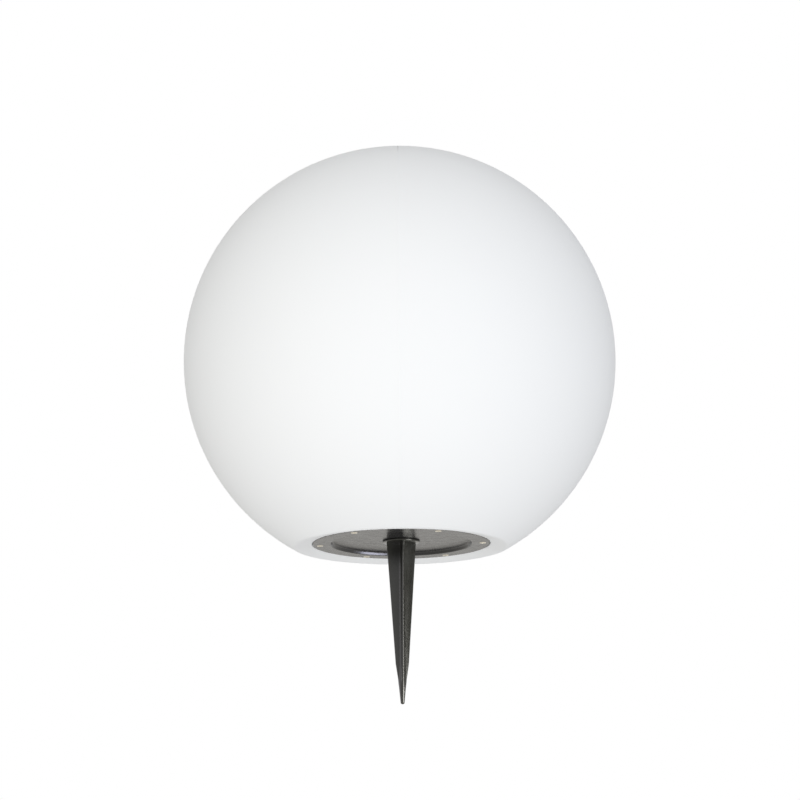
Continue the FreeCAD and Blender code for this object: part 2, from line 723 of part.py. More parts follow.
def make_globe():
    """Hollow ball with a sloping rim, a rebate for the plate and a ledge with six blind bosses."""
    body = new_body("globe_diffuser")
    section = sketch_on(body, "globe_section", "XZ_Plane")
    inner_radius = s.globe_radius - s.globe_wall
    neck_radius = opening_radius + s.globe_wall
    sharp_rim = opening_radius + s.rim_land
    inner_rim = hypotenuse_side(inner_radius, globe_centre - s.globe_wall)
    corners = [
        (sharp_rim, ZERO),
        (opening_radius, s.plate_setback),
        (opening_radius, ledge_under),
        (ledge_inner, ledge_under),
        (ledge_inner, ledge_top),
        (neck_radius, ledge_top),
        (neck_radius, s.plate_setback + s.globe_wall),
        (inner_rim, s.globe_wall),
    ]
    outer = ball_arc(section, s.globe_radius, sharp_rim, ZERO)
    first = section.GeometryCount
    for here, there in zip(corners, corners[1:]):
        start = Vector(here[0].value, here[1].value, 0)
        end = Vector(there[0].value, there[1].value, 0)
        section.addGeometry(Part.LineSegment(start, end), False)
    last = section.GeometryCount - 1
    inner = ball_arc(section, inner_radius, inner_rim, s.globe_wall)
    top_inner = Vector(0, (globe_centre + inner_radius).value, 0)
    top_outer = Vector(0, (globe_centre + s.globe_radius).value, 0)
    crown = section.addGeometry(Part.LineSegment(top_inner, top_outer), False)
    joints = [(outer, 1, first, 1), (last, 2, inner, 1), (inner, 2, crown, 1), (crown, 2, outer, 2)]
    joints += [(line, 2, line + 1, 1) for line in range(first, last)]
    for joint in joints:
        section.addConstraint(Sketcher.Constraint("Coincident", *joint))
    pin(section, first, 1, None, ZERO)
    for line, (x, z) in zip(range(first + 1, last + 1), corners[1:]):
        pin(section, line, 1, x, z)
    pin(section, last, 2, None, s.globe_wall)
    pin(section, crown, 1, ZERO, None)
    pin(section, crown, 2, ZERO, None)
    revolve(body, section)
    round_rim(body, "rim_corner", sharp_rim, ZERO, s.rim_round)
    round_rim(body, "rim_corner_inside", inner_rim, s.globe_wall, s.rim_round - s.globe_wall)
    add_insert_bosses(body)
    node(body)


def ball_arc(sketch, radius, rim_radius, rim_height):
    """The ball's outline, from a point at its rim up to its top."""
    low = math.atan2(rim_height.value - globe_centre.value, rim_radius.value)
    curve = Part.Circle(Vector(0, globe_centre.value, 0), UP, radius.value)
    index = sketch.addGeometry(Part.ArcOfCircle(curve, low, math.pi / 2), False)
    constrain(sketch, "Radius", index, radius)
    pin(sketch, index, 3, ZERO, globe_centre)
    return index


def add_insert_bosses(body):
    """Bosses on the ledge, bored from below for the inserts and their screws."""
    buried = ledge_under + s.ledge_thickness / 2
    hole_top = insert_under + s.insert_length + s.insert_setback
    boss = sketch_on(body, "insert_boss", "XY_Plane", buried)
    circle(boss, screw_x, screw_y, s.insert_radius + s.insert_boss_wall)
    around(body, pad(body, boss, hole_top + s.insert_boss_wall - buried), s.screw_count, True)
    hole = sketch_on(body, "insert_hole", "XY_Plane", ledge_under)
    circle(hole, screw_x, screw_y, s.insert_radius + s.thread_fit)
    around(body, pocket(body, hole, hole_top - ledge_under), s.screw_count, False)


def make_thread_inserts():
    """Brass inserts in the ball's bosses."""
    tube = ring("thread_insert", s.insert_radius, s.screw_radius + s.thread_fit, ZERO,
                s.insert_length)
    places = round_the_axis(screw_circle, s.screw_count, s.screw_turn, insert_under)
    node(group("thread_inserts", tube, places))


# ---------------------------------------------------------------- screws


def pan_screw(name, head_radius, head_height, shank_radius, reach, points_up=False):
    """A pan-head screw with a cross recess, with the underside of its head at height 0."""
    way = 1 if points_up else -1
    point = shank_radius * POINT_SHARE
    crown = head_height * -way
    body = new_body(name + "_blank")
    half = sketch_on(body, name + "_section", "XZ_Plane")
    outline(half, [
        (ZERO, crown),
        (head_radius, crown),
        (head_radius, ZERO),
        (shank_radius, ZERO),
        (shank_radius, (reach - point) * way),
        (shank_radius - point, reach * way),
        (ZERO, reach * way),
    ])
    revolve(body, half)
    round_rim(body, name + "_crown", head_radius, crown, head_height * HEAD_ROUNDING)
    width = head_radius * 2 * RECESS_WIDTH_SHARE
    depth = head_height * RECESS_DEPTH_SHARE
    under = crown if points_up else crown - depth
    along = block(name + "_slot_x", width, s.recess_slot, under, under + depth)
    across = block(name + "_slot_y", s.recess_slot, width, under, under + depth)
    return cut(name, body, [along, across])


def small_screw(name, reach):
    """One of the small screws, which point down."""
    return pan_screw(name, s.small_head_radius, s.small_head_height, s.small_screw_radius, reach)


def make_plate_screws():
    """Six steel screws that hold the plate in the ball."""
    screw = pan_screw("plate_screw", s.screw_head_radius, s.screw_head_height,
                      s.screw_radius, screw_reach, points_up=True)
    places = round_the_axis(screw_circle, s.screw_count, s.screw_turn, screw_seat)
    node(group("plate_screws", screw, places))


# ---------------------------------------------------------------- cable gland


def make_gland():
    """Cable gland at the back of the dish: body, washer, lock nut, seal and cap."""
    y = s.gland_reach
    washer_under = floor_under - s.gland_washer_thickness
    flange_under = washer_under - s.gland_flange
    stem_under = flange_under - s.gland_skirt
    nut_top = floor_top + s.gland_nut_height
    stem_top = nut_top + s.gland_end_thread
    seal_radius = gland_thread - s.gland_wall / 2
    seal_top = stem_under + s.seal_length
    cap_under = stem_under - s.gland_cap_roof
    cap_top = flange_under - s.gland_cap_gap
    threaded_bore = gland_thread + s.thread_fit

    stem = rod("gland_stem", gland_thread, stem_under, stem_top, y=y)
    flange = hexagon("gland_flange", gland_flats, flange_under, washer_under, y=y)
    bore = rod("gland_bore", gland_bore, stem_under, stem_top, y=y)
    seat = rod("gland_seat", seal_radius + s.thread_fit, stem_under, seal_top, y=y)
    node(cut("gland_body", fuse("gland_blank", [stem, flange]), [bore, seat]))

    node(ring("gland_washer", gland_flats / 2, gland_thread + s.gland_hole_margin,
              washer_under, floor_under, y=y))

    nut = hexagon("gland_nut_blank", gland_flats + s.gland_shoulder, floor_top, nut_top, y=y)
    nut_bore = rod("gland_nut_bore", threaded_bore, floor_top, nut_top, y=y)
    node(cut("gland_nut", nut, [nut_bore]))

    node(ring("gland_seal", seal_radius, s.cable_radius, stem_under, seal_top, y=y))

    blank = hexagon("gland_cap_blank", gland_flats, cap_under, cap_top, y=y)
    dome = solid("Sphere", "gland_cap_dome", y=y, z=cap_top - gland_flats * DOME_DROP_SHARE,
                 Radius=gland_flats * DOME_SHARE)
    rounded = doc.addObject("Part::MultiCommon", "gland_cap_rounded")
    rounded.Shapes = [blank, dome]
    thread = rod("gland_cap_thread", threaded_bore, stem_under, cap_top, y=y)
    mouth = rod("gland_cap_mouth", gland_bore, cap_under, stem_under, y=y)
    node(cut("gland_cap", rounded, [thread, mouth]))


# ---------------------------------------------------------------- bracket


def make_bracket():
    """Bent steel bracket that stands on two pillars and carries the lampholder."""
    body = new_body("holder_bracket")
    bent = sketch_on(body, "bracket_section", "XZ_Plane")
    toe = bracket_reach + s.bracket_toe
    leg_outside = bracket_leg + s.bracket_sheet
    foot_top = pillar_top + s.bracket_sheet
    outer_bend = s.bracket_bend + s.bracket_sheet
    half = [
        (bracket_leg, bracket_under),
        (bracket_leg, pillar_top),
        (toe, pillar_top),
        (toe, foot_top),
        (leg_outside, foot_top),
        (leg_outside, bracket_top),
    ]
    outline(bent, half + [(-x, z) for x, z in reversed(half)])
    pad(body, bent, s.bracket_width, both_ways=True)
    bends = [
        (bracket_leg, bracket_under, s.bracket_bend),
        (leg_outside, bracket_top, outer_bend),
        (bracket_leg, pillar_top, outer_bend),
        (leg_outside, foot_top, s.bracket_bend),
    ]
    for number, (x, z, radius) in enumerate(bends, start=1):
        names = bend_edges(body.Tip.Shape, x, z, s.bracket_width)
        round_edges(body, f"bend_{number}", names, radius)
    feet = sketch_on(body, "foot_hole", "XY_Plane", pillar_top)
    circle(feet, bracket_reach, ZERO, s.small_screw_radius + s.screw_hole_margin)
    around(body, pocket(body, feet, s.bracket_sheet), 2, False)
    saddle = sketch_on(body, "saddle_hole", "XY_Plane", bracket_under)
    circle(saddle, holder_screw_place, ZERO, s.small_screw_radius + s.thread_fit)
    around(body, pocket(body, saddle, s.bracket_sheet), 2, False)
    place(body, turn=bracket_turn)
    node(body)


def make_bracket_screws():
    """Two screws through the bracket's feet into the pillars."""
    screw = small_screw("bracket_screw", s.bracket_screw_reach)
    places = round_the_axis(bracket_reach, as_size(2), bracket_turn, pillar_top + s.bracket_sheet)
    node(group("bracket_screws", screw, places))


# ---------------------------------------------------------------- lampholder


def make_holder_base():
    """Cup that holds the terminals, screwed to the bracket."""
    body = new_body("holder_base")
    section = sketch_on(body, "cup_section", "XZ_Plane")
    outline(section, [
        (ZERO, bracket_top),
        (holder_radius, bracket_top),
        (holder_radius, carrier_under),
        (cup_bore, carrier_under),
        (cup_bore, cup_floor),
        (ZERO, cup_floor),
    ])
    revolve(body, section)
    round_rim(body, "cup_edge", holder_radius, bracket_top, s.holder_wall / 2)
    fixing = sketch_on(body, "cup_fixing", "XY_Plane", bracket_top)
    circle(fixing, ZERO, holder_screw_place, s.small_screw_radius + s.screw_hole_margin)
    around(body, pocket(body, fixing, s.holder_floor), 2, False)
    for side, y in (("left", pole), ("right", -pole)):
        entry = sketch_on(body, "wire_entry_" + side, "YZ_Plane")
        circle(entry, y, terminal_middle, s.wire_radius + s.wire_room)
        pocket(body, entry, holder_radius)
    place(body, turn=s.service_turn)
    node(body)


def make_holder_screws():
    """Two screws that hold the cup on the bracket."""
    screw = small_screw("holder_screw", s.holder_screw_reach)
    places = round_the_axis(holder_screw_place, as_size(2), bracket_turn, cup_floor)
    node(group("holder_screws", screw, places))


def make_contact_carrier():
    """Insulating disc between the cup and the mouth; it carries the contacts and terminals."""
    node(rod("contact_carrier", holder_radius, carrier_under, carrier_top))


def make_holder_mouth():
    """Upper part of the lampholder around the threaded sleeve."""
    body = new_body("holder_mouth")
    section = sketch_on(body, "mouth_section", "XZ_Plane")
    waist = carrier_top + s.mouth_height * WAIST_SHARE
    outline(section, [
        (mouth_bore, carrier_top),
        (holder_radius, carrier_top),
        (holder_radius, waist),
        (mouth_radius, waist + s.mouth_step),
        (mouth_radius, holder_mouth),
        (mouth_bore, holder_mouth),
    ])
    revolve(body, section)
    round_rim(body, "mouth_edge", mouth_radius, holder_mouth, s.holder_wall / 2)
    node(body)


def make_thread_sleeve():
    """Brass sleeve that takes the bulb's cap."""
    node(ring("thread_sleeve", s.sleeve_bore + s.sleeve_sheet, s.sleeve_bore,
              carrier_top, carrier_top + s.sleeve_length))


def make_centre_contact():
    """Bent bronze strip under the bulb's contact."""
    body = new_body("centre_contact")
    strip = sketch_on(body, "strip_section", "XZ_Plane")
    top = carrier_top + s.contact_rise
    sheet = s.contact_sheet
    outline(strip, [
        (-s.contact_foot, carrier_top),
        (-s.contact_knee + sheet, carrier_top),
        (sheet, top - sheet),
        (s.contact_tongue, top - sheet),
        (s.contact_tongue, top),
        (ZERO, top),
        (-s.contact_knee, carrier_top + sheet),
        (-s.contact_foot, carrier_top + sheet),
    ])
    pad(body, strip, s.contact_width, both_ways=True)
    place(body, turn=s.service_turn)
    node(body)


def make_holder_terminals():
    """Two brass terminals under the carrier, each with a clamping screw from below."""
    pieces = []
    screws = []
    under = terminal_middle - s.terminal_width / 2
    screw_under = under - s.small_head_height
    x = terminal_place
    for side, y in (("left", pole), ("right", -pole)):
        name = "holder_terminal_" + side
        brass = block(name + "_brass", s.terminal_length, s.terminal_width, under, carrier_under,
                      x=x, y=y)
        bore = lying_rod(name + "_wire_bore", wire_bore, x - s.terminal_length / 2, terminal_end,
                         y, terminal_middle)
        tapped = rod(name + "_tapped", s.small_screw_radius + s.thread_fit, under, terminal_middle,
                     x=x, y=y)
        pieces.append(cut(name, brass, [bore, tapped]))
        head = rod(name + "_screw_head", s.small_head_radius - s.screw_hole_margin, screw_under,
                   under, x=x, y=y)
        shank = rod(name + "_screw_shank", s.small_screw_radius, screw_under,
                    terminal_middle - s.wire_radius, x=x, y=y)
        screws.append(fuse(name + "_screw", [head, shank]))
    node(on_service_side("holder_terminals", pieces))
    node(on_service_side("holder_terminal_screws", screws))


# ---------------------------------------------------------------- terminal block and wires


def make_terminal_block():
    """Two-pole terminal block beside the socket, screwed to its boss."""
    top = block_under + s.block_height
    sink = top - s.block_sink
    middle = s.block_reach
    start = middle - s.block_width / 2
    end = middle + s.block_width / 2
    clear = s.small_screw_radius + s.screw_hole_margin
    housing = block("block_housing", s.block_width, block_length, block_under, top, x=middle)
    cuts = [
        rod("block_fixing", clear, block_under, top, x=middle),
        rod("block_well", s.small_head_radius + s.screw_hole_margin, sink, top, x=middle),
    ]
    tubes = []
    screws = []
    for side, y in (("left", pole), ("right", -pole)):
        name = "block_" + side
        cuts.append(lying_rod(name + "_channel", tube_radius + s.thread_fit, start, end, y,
                              block_middle))
        holes = []
        for number, x in enumerate((middle - s.block_screw_place, middle + s.block_screw_place)):
            label = f"{name}_{number + 1}"
            cuts.append(rod(label + "_well", clear, block_middle, top, x=x, y=y))
            holes.append(rod(label + "_tapped", s.small_screw_radius + s.thread_fit,
                             block_middle, block_middle + tube_radius, x=x, y=y))
            screws.append(rod(label + "_clamp", s.small_screw_radius, block_middle + s.wire_radius,
                              top - s.small_head_height, x=x, y=y))
        tubes.append(terminal_tube(name + "_tube", start + s.tube_inset, end - s.tube_inset, y, holes))
    housing = cut("terminal_block", housing, cuts)
    place(housing, turn=s.service_turn)
    node(housing)
    node(on_service_side("terminal_tubes", tubes))
    node(on_service_side("terminal_screws", screws))
    screw = small_screw("block_screw_master", sink - block_under + s.block_foot)
    screw_place = round_the_axis(middle, as_size(1), s.service_turn, sink)
    node(group("block_screw", screw, screw_place))


def terminal_tube(name, start, end, y, holes):
    """One of the block's brass tubes, with its tapped holes."""
    outer = lying_rod(name + "_outer", tube_radius, start, end, y, block_middle)
    bore = lying_rod(name + "_bore", wire_bore, start, end, y, block_middle)
    return cut(name, outer, [bore] + holes)


def bent_path(corners):
    """Straight runs joined by tangent arcs, each as large as its two runs allow."""
    edges = []
    here = corners[0]
    for before, corner, after in zip(corners, corners[1:], corners[2:]):
        into = (corner - before).normalize()
        out = (after - corner).normalize()
        half_turn = into.getAngle(out) / 2
        shorter = min((corner - before).Length, (after - corner).Length)
        setback = RUN_SHARE * shorter
        radius = setback / math.tan(half_turn)
        start = corner - into * setback
        end = corner + out * setback
        inwards = (out - into).normalize()
        middle = corner + inwards * (radius / math.cos(half_turn) - radius)
        edges.append(Part.LineSegment(here, start).toShape())
        edges.append(Part.Arc(start, middle, end).toShape())
        print(f"  bend radius {radius:.1f} mm")
        here = end
    edges.append(Part.LineSegment(here, corners[-1]).toShape())
    return Part.Wire(edges)


def make_wires():
    """Two insulated wires from the terminal block up to the lampholder's terminals."""
    from_block = s.block_reach - s.block_screw_place
    rise_foot = s.block_reach - s.block_width / 2 - s.wire_run
    rise_head = rise_foot - s.wire_lean
    for name, y in (("wire_live", pole), ("wire_neutral", -pole)):
        corners = [
            Vector(from_block.value, y.value, block_middle.value),
            Vector(rise_foot.value, y.value, block_middle.value),
            Vector(rise_head.value, y.value, terminal_middle.value),
            Vector(terminal_place.value, y.value, terminal_middle.value),
        ]
        path = bent_path(corners)
        section = Part.Wire([Part.Circle(corners[0], Vector(1, 0, 0), s.wire_radius.value).toShape()])
        made = doc.addObject("Part::Feature", name)
        made.Shape = path.makePipeShell([section], True, False)
        swept = math.pi * s.wire_radius.value ** 2 * path.Length
        print(f"  {name}: {made.Shape.Volume:.1f} mm3, section times length {swept:.1f} mm3")
        place(made, turn=s.service_turn)
        node(made)


# ---------------------------------------------------------------- bulb


def dome_ball(name, radius):
    """A ball about the dome's centre, cut off level with the dome's joint."""
    ratio = s.dome_drop / radius
    low = Size(math.degrees(math.asin(ratio.value)), f"(asin({ratio.text}) / 1 deg)")
    return solid("Sphere", name, z=dome_centre, Radius=radius, Angle1=-low)


def make_bulb_dome():
    """Opal dome of the bulb."""
    outer = dome_ball("dome_outside", s.bulb_radius)
    inner = dome_ball("dome_inside", s.bulb_radius - s.bulb_wall)
    node(cut("bulb_dome", outer, [inner]))


def make_bulb_housing():
    """Flared plastic housing between the bulb's cap and its dome."""
    body = new_body("bulb_housing")
    section = sketch_on(body, "housing_section", "XZ_Plane")
    neck_inside = housing_neck - s.bulb_wall
    inside = housing_radius - s.bulb_wall
    flare_low = housing_under + s.housing_height * FLARE_LOW_SHARE
    flare_high = housing_under + s.housing_height * FLARE_HIGH_SHARE
    outline(section, [
        (housing_neck, housing_under),
        (housing_neck, flare_low),
        (housing_radius, flare_high),
        (housing_radius, dome_joint),
        (inside, dome_joint),
        (inside, flare_high),
        (neck_inside, flare_low),
        (neck_inside, housing_under),
    ])
    revolve(body, section)
    rounding = s.bulb_radius * FLARE_ROUNDING
    round_rim(body, "neck_outside", housing_neck, flare_low, rounding)
    round_rim(body, "shoulder_outside", housing_radius, flare_high, rounding)
    round_rim(body, "neck_inside", neck_inside, flare_low, rounding)
    round_rim(body, "shoulder_inside", inside, flare_high, rounding)
    node(body)


def make_bulb_cap():
    """Screw cap, its insulator and its centre contact."""
    insulator_under = bulb_under + s.cap_contact_height
    shell_under = insulator_under + s.cap_insulator_height
    shell_bore = cap_radius - s.cap_sheet
    node(ring("bulb_cap", cap_radius, shell_bore, shell_under, housing_under))
    node(solid("Cone", "bulb_insulator", z=insulator_under, Radius1=s.cap_contact_radius,
               Radius2=shell_bore, Height=s.cap_insulator_height))
    node(rod("bulb_contact", s.cap_contact_radius, bulb_under, insulator_under))


def make_bulb_electronics():
    """Round board with its chips under the dome, and the driver board below it."""
    board_under = dome_joint - s.board_thickness
    board_radius = housing_radius - s.bulb_wall - s.board_gap
    node(rod("led_board", board_radius, board_under, dome_joint))
    chip = block("led_chip", s.chip_side, s.chip_side, ZERO, s.chip_height)
    node(group("led_chips", chip, round_the_axis(s.chip_circle, s.chip_count, ZERO, dome_joint)))
    driver_width = (housing_neck - s.bulb_wall) * 2 * DRIVER_SHARE
    node(block("driver_board", driver_width, s.board_thickness, housing_under, board_under))


# ---------------------------------------------------------------- build, check and write


def make_everything():
    make_ground_spike()
    make_base_plate()
    make_base_gasket()
    make_plate_screws()
    make_gland()
    make_bracket()
    make_bracket_screws()
    make_holder_base()
    make_holder_screws()
    make_contact_carrier()
    make_holder_mouth()
    make_thread_sleeve()
    make_centre_contact()
    make_holder_terminals()
    make_terminal_block()
    make_wires()
    make_globe()
    make_thread_inserts()
    make_bulb_dome()
    make_bulb_housing()
    make_bulb_cap()
    make_bulb_electronics()
    doc.recompute()


def check_everything():
    """Stop before anything is written if an object failed or a piece isn't sound."""
    for thing in doc.Objects:
        if "Invalid" in thing.State or "Error" in thing.State:
            raise RuntimeError(f"{thing.Label} failed: {thing.State}")
    for piece in nodes:
        if piece.Shape.isNull() or not piece.Shape.isValid() or not piece.Shape.Solids:
            raise RuntimeError(f"{piece.Label} has no valid solid")


def write_pieces():
    os.makedirs("parts", exist_ok=True)
    for piece in nodes:
        piece.Shape.exportStep(f"parts/{piece.Label}.step")
        box = piece.Shape.BoundBox
        print(f"{piece.Label:24s} {len(piece.Shape.Solids):3d} solids {piece.Shape.Volume:12.1f} mm3"
              f"  z {box.ZMin:8.2f} to {box.ZMax:8.2f}")


make_everything()
check_everything()
write_pieces()
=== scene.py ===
"""The looks of a garden globe light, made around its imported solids. Lengths are in metres."""
import math

import bmesh
import bpy
from bpy.props import FloatProperty, FloatVectorProperty, PointerProperty
from mathutils import Matrix, Vector


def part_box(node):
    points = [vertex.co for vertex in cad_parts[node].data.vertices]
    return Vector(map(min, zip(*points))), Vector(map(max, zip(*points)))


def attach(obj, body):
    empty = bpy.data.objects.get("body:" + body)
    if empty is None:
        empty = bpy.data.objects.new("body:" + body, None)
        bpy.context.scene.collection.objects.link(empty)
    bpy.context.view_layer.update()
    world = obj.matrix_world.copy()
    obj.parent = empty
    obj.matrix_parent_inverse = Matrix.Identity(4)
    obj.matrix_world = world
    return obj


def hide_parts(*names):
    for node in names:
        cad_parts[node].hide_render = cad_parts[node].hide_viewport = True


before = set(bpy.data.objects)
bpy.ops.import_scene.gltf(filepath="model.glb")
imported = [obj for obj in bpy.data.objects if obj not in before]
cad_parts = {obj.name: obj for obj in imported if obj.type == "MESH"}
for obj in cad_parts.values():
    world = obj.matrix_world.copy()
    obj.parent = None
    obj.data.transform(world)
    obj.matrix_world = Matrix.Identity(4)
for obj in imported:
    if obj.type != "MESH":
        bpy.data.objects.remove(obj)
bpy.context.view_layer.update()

bl_info = {
    "name": "Garden globe light",
    "version": (1, 0, 0),
    "blender": (4, 5, 0),
    "location": "View3D > Sidebar > Globe light",
    "description": (
        "Dresses a garden globe light: ball, base plate, ground spike, lampholder and bulb"
    ),
    "category": "Object",
}

MM = 0.001
RIGHT_ANGLE = math.radians(90)
FULL_TURN = math.radians(360)


def reach(node):
    """How far a node reaches from the lamp's axis along X."""
    return round(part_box(node)[1].x, 4)


def bottom(node):
    """Height of a node's lowest point."""
    return round(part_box(node)[0].z, 5)


def top(node):
    """Height of a node's highest point."""
    return round(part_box(node)[1].z, 5)


def linear(colour):
    """Linear red, green and blue of an sRGB hex colour."""
    parts = [int(colour[i:i + 2], 16) / 255 for i in (1, 3, 5)]
    return tuple(c / 12.92 if c <= 0.04045 else ((c + 0.055) / 1.055) ** 2.4 for c in parts)


def length(name, description, default):
    return FloatProperty(
        name=name, description=description, default=default, unit="LENGTH", precision=5
    )


def angle(name, description, default):
    return FloatProperty(
        name=name, description=description, default=math.radians(default), unit="ROTATION"
    )


def shade(name, description, default):
    return FloatVectorProperty(
        name=name, description=description, default=linear(default), subtype="COLOR", min=0, max=1
    )


class GlobeLightSizes(bpy.types.PropertyGroup):
    """Sizes of the pieces that are modelled here.

    What they share with the solids is read from those solids.
    """
    ball_radius: length("Ball radius", "Outside radius of the ball", reach("globe_diffuser"))
    ball_wall: length("Ball wall", "Wall of the blown ball", 3.5 * MM)
    rim_round: length("Rim rounding", "Rounding between the ball and its rim", 8 * MM)
    plate_gap: length("Plate gap", "Gap between the plate's edge and the ball", 0.6 * MM)
    ledge_radius: length(
        "Ledge radius", "Inner radius of the ledge that the plate is screwed to", 86 * MM
    )
    ledge_thickness: length("Ledge thickness", "Thickness of that ledge", 4 * MM)
    boss_wall: length("Boss wall", "Wall around and above a brass insert", 2.5 * MM)
    seam_width: length("Seam width", "Width of the ball's parting line", 2.0 * MM)
    seam_height: length("Seam height", "How far the parting line stands proud", 0.22 * MM)
    screw_inset: length("Screw inset", "Distance of the screws from the plate's edge", 8 * MM)
    screw_turn: angle("Screw turn", "How far the first screw is turned from +X", -3.9)
    screw_sink: length("Screw sink", "Depth of the well that a screw's head sits in", 2 * MM)
    screw_pitch: length("Screw pitch", "Pitch of the plate screws", 0.7 * MM)
    screw_slot: length("Recess slot", "Width of the slots of the cross recess", 0.9 * MM)
    fin_turn: angle("Spike turn", "How far the spike is turned from the front", 8)
    fin_thickness: length("Fin thickness", "Thickness of the spike's fins at their roots", 2.6 * MM)
    fin_draft: angle("Fin draft", "Slope of each side of a fin, for its mould", 1)
    fin_corner: length("Fin corner", "Rounding along the outer edges of the fins", 0.9 * MM)
    core_radius: length("Core radius", "Radius of the core between the fins", 3.4 * MM)
    cap_pitch: length("Cap pitch", "Pitch of the bulb cap's thread", 3.63 * MM)
    cap_thread: length("Cap thread", "Depth of the bulb cap's thread", 0.9 * MM)
    cap_sheet: length("Cap sheet", "Sheet thickness of the bulb cap", 0.3 * MM)


class GlobeLightColours(bpy.types.PropertyGroup):
    """Colours of the mouldings."""
    ball: shade("Ball", "White of the ball", "#F3F4F5")
    plate: shade("Base plate", "Black of the glossy base plate", "#101010")
    spike: shade("Spike", "Black of the ground spike", "#1E1E1A")
    gland: shade("Cable gland", "Black of the cable gland", "#1D1D1E")
    rubber: shade("Rubber", "Black of the gasket and the gland's seals", "#191919")
    holder: shade("Lampholder", "Black of the lampholder", "#1A1817")
    carrier: shade("Contact carrier", "Off-white of the contact carrier", "#E4DFD2")
    block: shade("Terminal block", "Natural colour of the terminal block", "#EAE6D8")
    live: shade("Live wire", "Insulation of the live wire", "#5B2F17")
    neutral: shade("Neutral wire", "Insulation of the neutral wire", "#1F55A8")
    dome: shade("Bulb dome", "White of the bulb's opal dome", "#F3F2EA")
    housing: shade("Bulb housing", "White of the bulb's housing", "#E9E9E6")


class GlobeLightStage(bpy.types.PropertyGroup):
    """Camera and light. The camera looks up at the lamp from the front, as a product shot does."""
    distance: length("Camera distance", "From the ball's centre to the camera", 2.5)
    drop: angle("Camera drop", "How far below the ball's centre the camera stands", 14.66)
    aim_low: angle("Low aim", "How far below the ball's centre the camera aims", 1.01)
    roll: angle("Camera roll", "Turn of the camera about its line of sight", -0.5)
    lens: FloatProperty(
        name="Lens", description="Focal length in millimetres", default=96.7, unit="CAMERA"
    )
    tent: FloatProperty(
        name="Tent light", description="Strength of the light tent's lit half", default=1.07
    )
    lamp: FloatProperty(
        name="Lamp light", description="Strength of the lamps for the black parts", default=1.0
    )
    back: FloatProperty(
        name="Back light", description="Power of the lamp behind, in watts", default=280
    )
    floor_drop: length("Floor depth", "From the ball's rim down to the studio floor", 1.5)


def sizes():
    return bpy.context.scene.globe_light_sizes


def colours():
    return bpy.context.scene.globe_light_colours


# ---------------------------------------------------------------- meshes


def arc(centre_r, centre_z, radius, start, end, steps):
    """Points (r, z) along an arc of a profile, from one angle in degrees to another."""
    turns = [math.radians(start + (end - start) * i / steps) for i in range(steps + 1)]
    return [(centre_r + radius * math.cos(a), centre_z + radius * math.sin(a)) for a in turns]


def even_turns(columns):
    return [FULL_TURN * i / columns for i in range(columns)]


def ring(r, z, turns, centre=(0, 0)):
    """A level ring of points, or one point where the radius is nothing."""
    if r < 1e-6:
        return [Vector((*centre, z))]
    return [Vector((centre[0] + r * math.cos(a), centre[1] + r * math.sin(a), z)) for a in turns]


def skin(bm, rings, lids=True):
    """Skins a stack of rings. A ring of one point is a pole, and the other ends get lids."""
    rows = [[bm.verts.new(point) for point in one] for one in rings]
    for low, high in zip(rows, rows[1:]):
        count = max(len(low), len(high))
        for i in range(count):
            j = (i + 1) % count
            if len(low) == 1:
                bm.faces.new((low[0], high[j], high[i]))
            elif len(high) == 1:
                bm.faces.new((low[i], low[j], high[0]))
            else:
                bm.faces.new((low[i], low[j], high[j], high[i]))
    for row in (rows[0], rows[-1]):
        if lids and len(row) > 1:
            bm.faces.new(row)


def turned(bm, profile, columns, centre=(0, 0), lids=True):
    """Skins a profile of (r, z) points turned about a vertical axis."""
    skin(bm, [ring(r, z, even_turns(columns), centre) for r, z in profile], lids)


def to_object(name, bm, crease=32):
    """Makes a smooth-shaded object whose edges stay sharp past an angle in degrees."""
    bmesh.ops.recalc_face_normals(bm, faces=bm.faces)
    mesh = bpy.data.meshes.new(name)
    bm.to_mesh(mesh)
    bm.free()
    piece = bpy.data.objects.new(name, mesh)
    bpy.context.scene.collection.objects.link(piece)
    soften(piece, crease)
    return piece


def soften(piece, crease):
    piece.data.shade_smooth()
    piece.data.set_sharp_from_angle(angle=math.radians(crease))


def apply_modifiers(piece):
    """Replaces a piece's mesh by what its modifiers make of it."""
    graph = bpy.context.evaluated_depsgraph_get()
    result = bpy.data.meshes.new_from_object(piece.evaluated_get(graph))
    piece.modifiers.clear()
    piece.data = result


def combine(piece, tool, operation, crease=32):
    """Joins a tool's solid to a piece, or cuts it out, and deletes the tool."""
    modifier = piece.modifiers.new("combine", "BOOLEAN")
    modifier.operation = operation
    modifier.solver = "EXACT"
    modifier.object = tool
    apply_modifiers(piece)
    bpy.data.objects.remove(tool)
    soften(piece, crease)


def threaded(bm, radii, pitch, low, high, end_radius, columns, centre=(0, 0)):
    """A helical skin between two heights. radii is its profile over one pitch."""
    steps = len(radii)
    rows = []
    for k in range(steps * (math.ceil((high - low) / pitch) + 2) + 1):
        row = []
        for j, turn in enumerate(even_turns(columns)):
            z = low + pitch * (k / steps + j / columns - 1)
            inside = low < z < high
            r = radii[k % steps] if inside else end_radius
            row.append(bm.verts.new(ring(r, min(max(z, low), high), [turn], centre)[0]))
        rows.append(row)
    for k, row in enumerate(rows[:-1]):
        for j in range(columns - 1):
            bm.faces.new((row[j], row[j + 1], rows[k + 1][j + 1], rows[k + 1][j]))
        if k + steps + 1 < len(rows):
            bm.faces.new((row[-1], rows[k + steps][0], rows[k + steps + 1][0], rows[k + 1][-1]))
    bmesh.ops.remove_doubles(bm, verts=bm.verts, dist=1e-6)
    loose = [v for v in bm.verts if not v.link_faces]
    bmesh.ops.delete(bm, geom=loose, context="VERTS")


# ---------------------------------------------------------------- materials


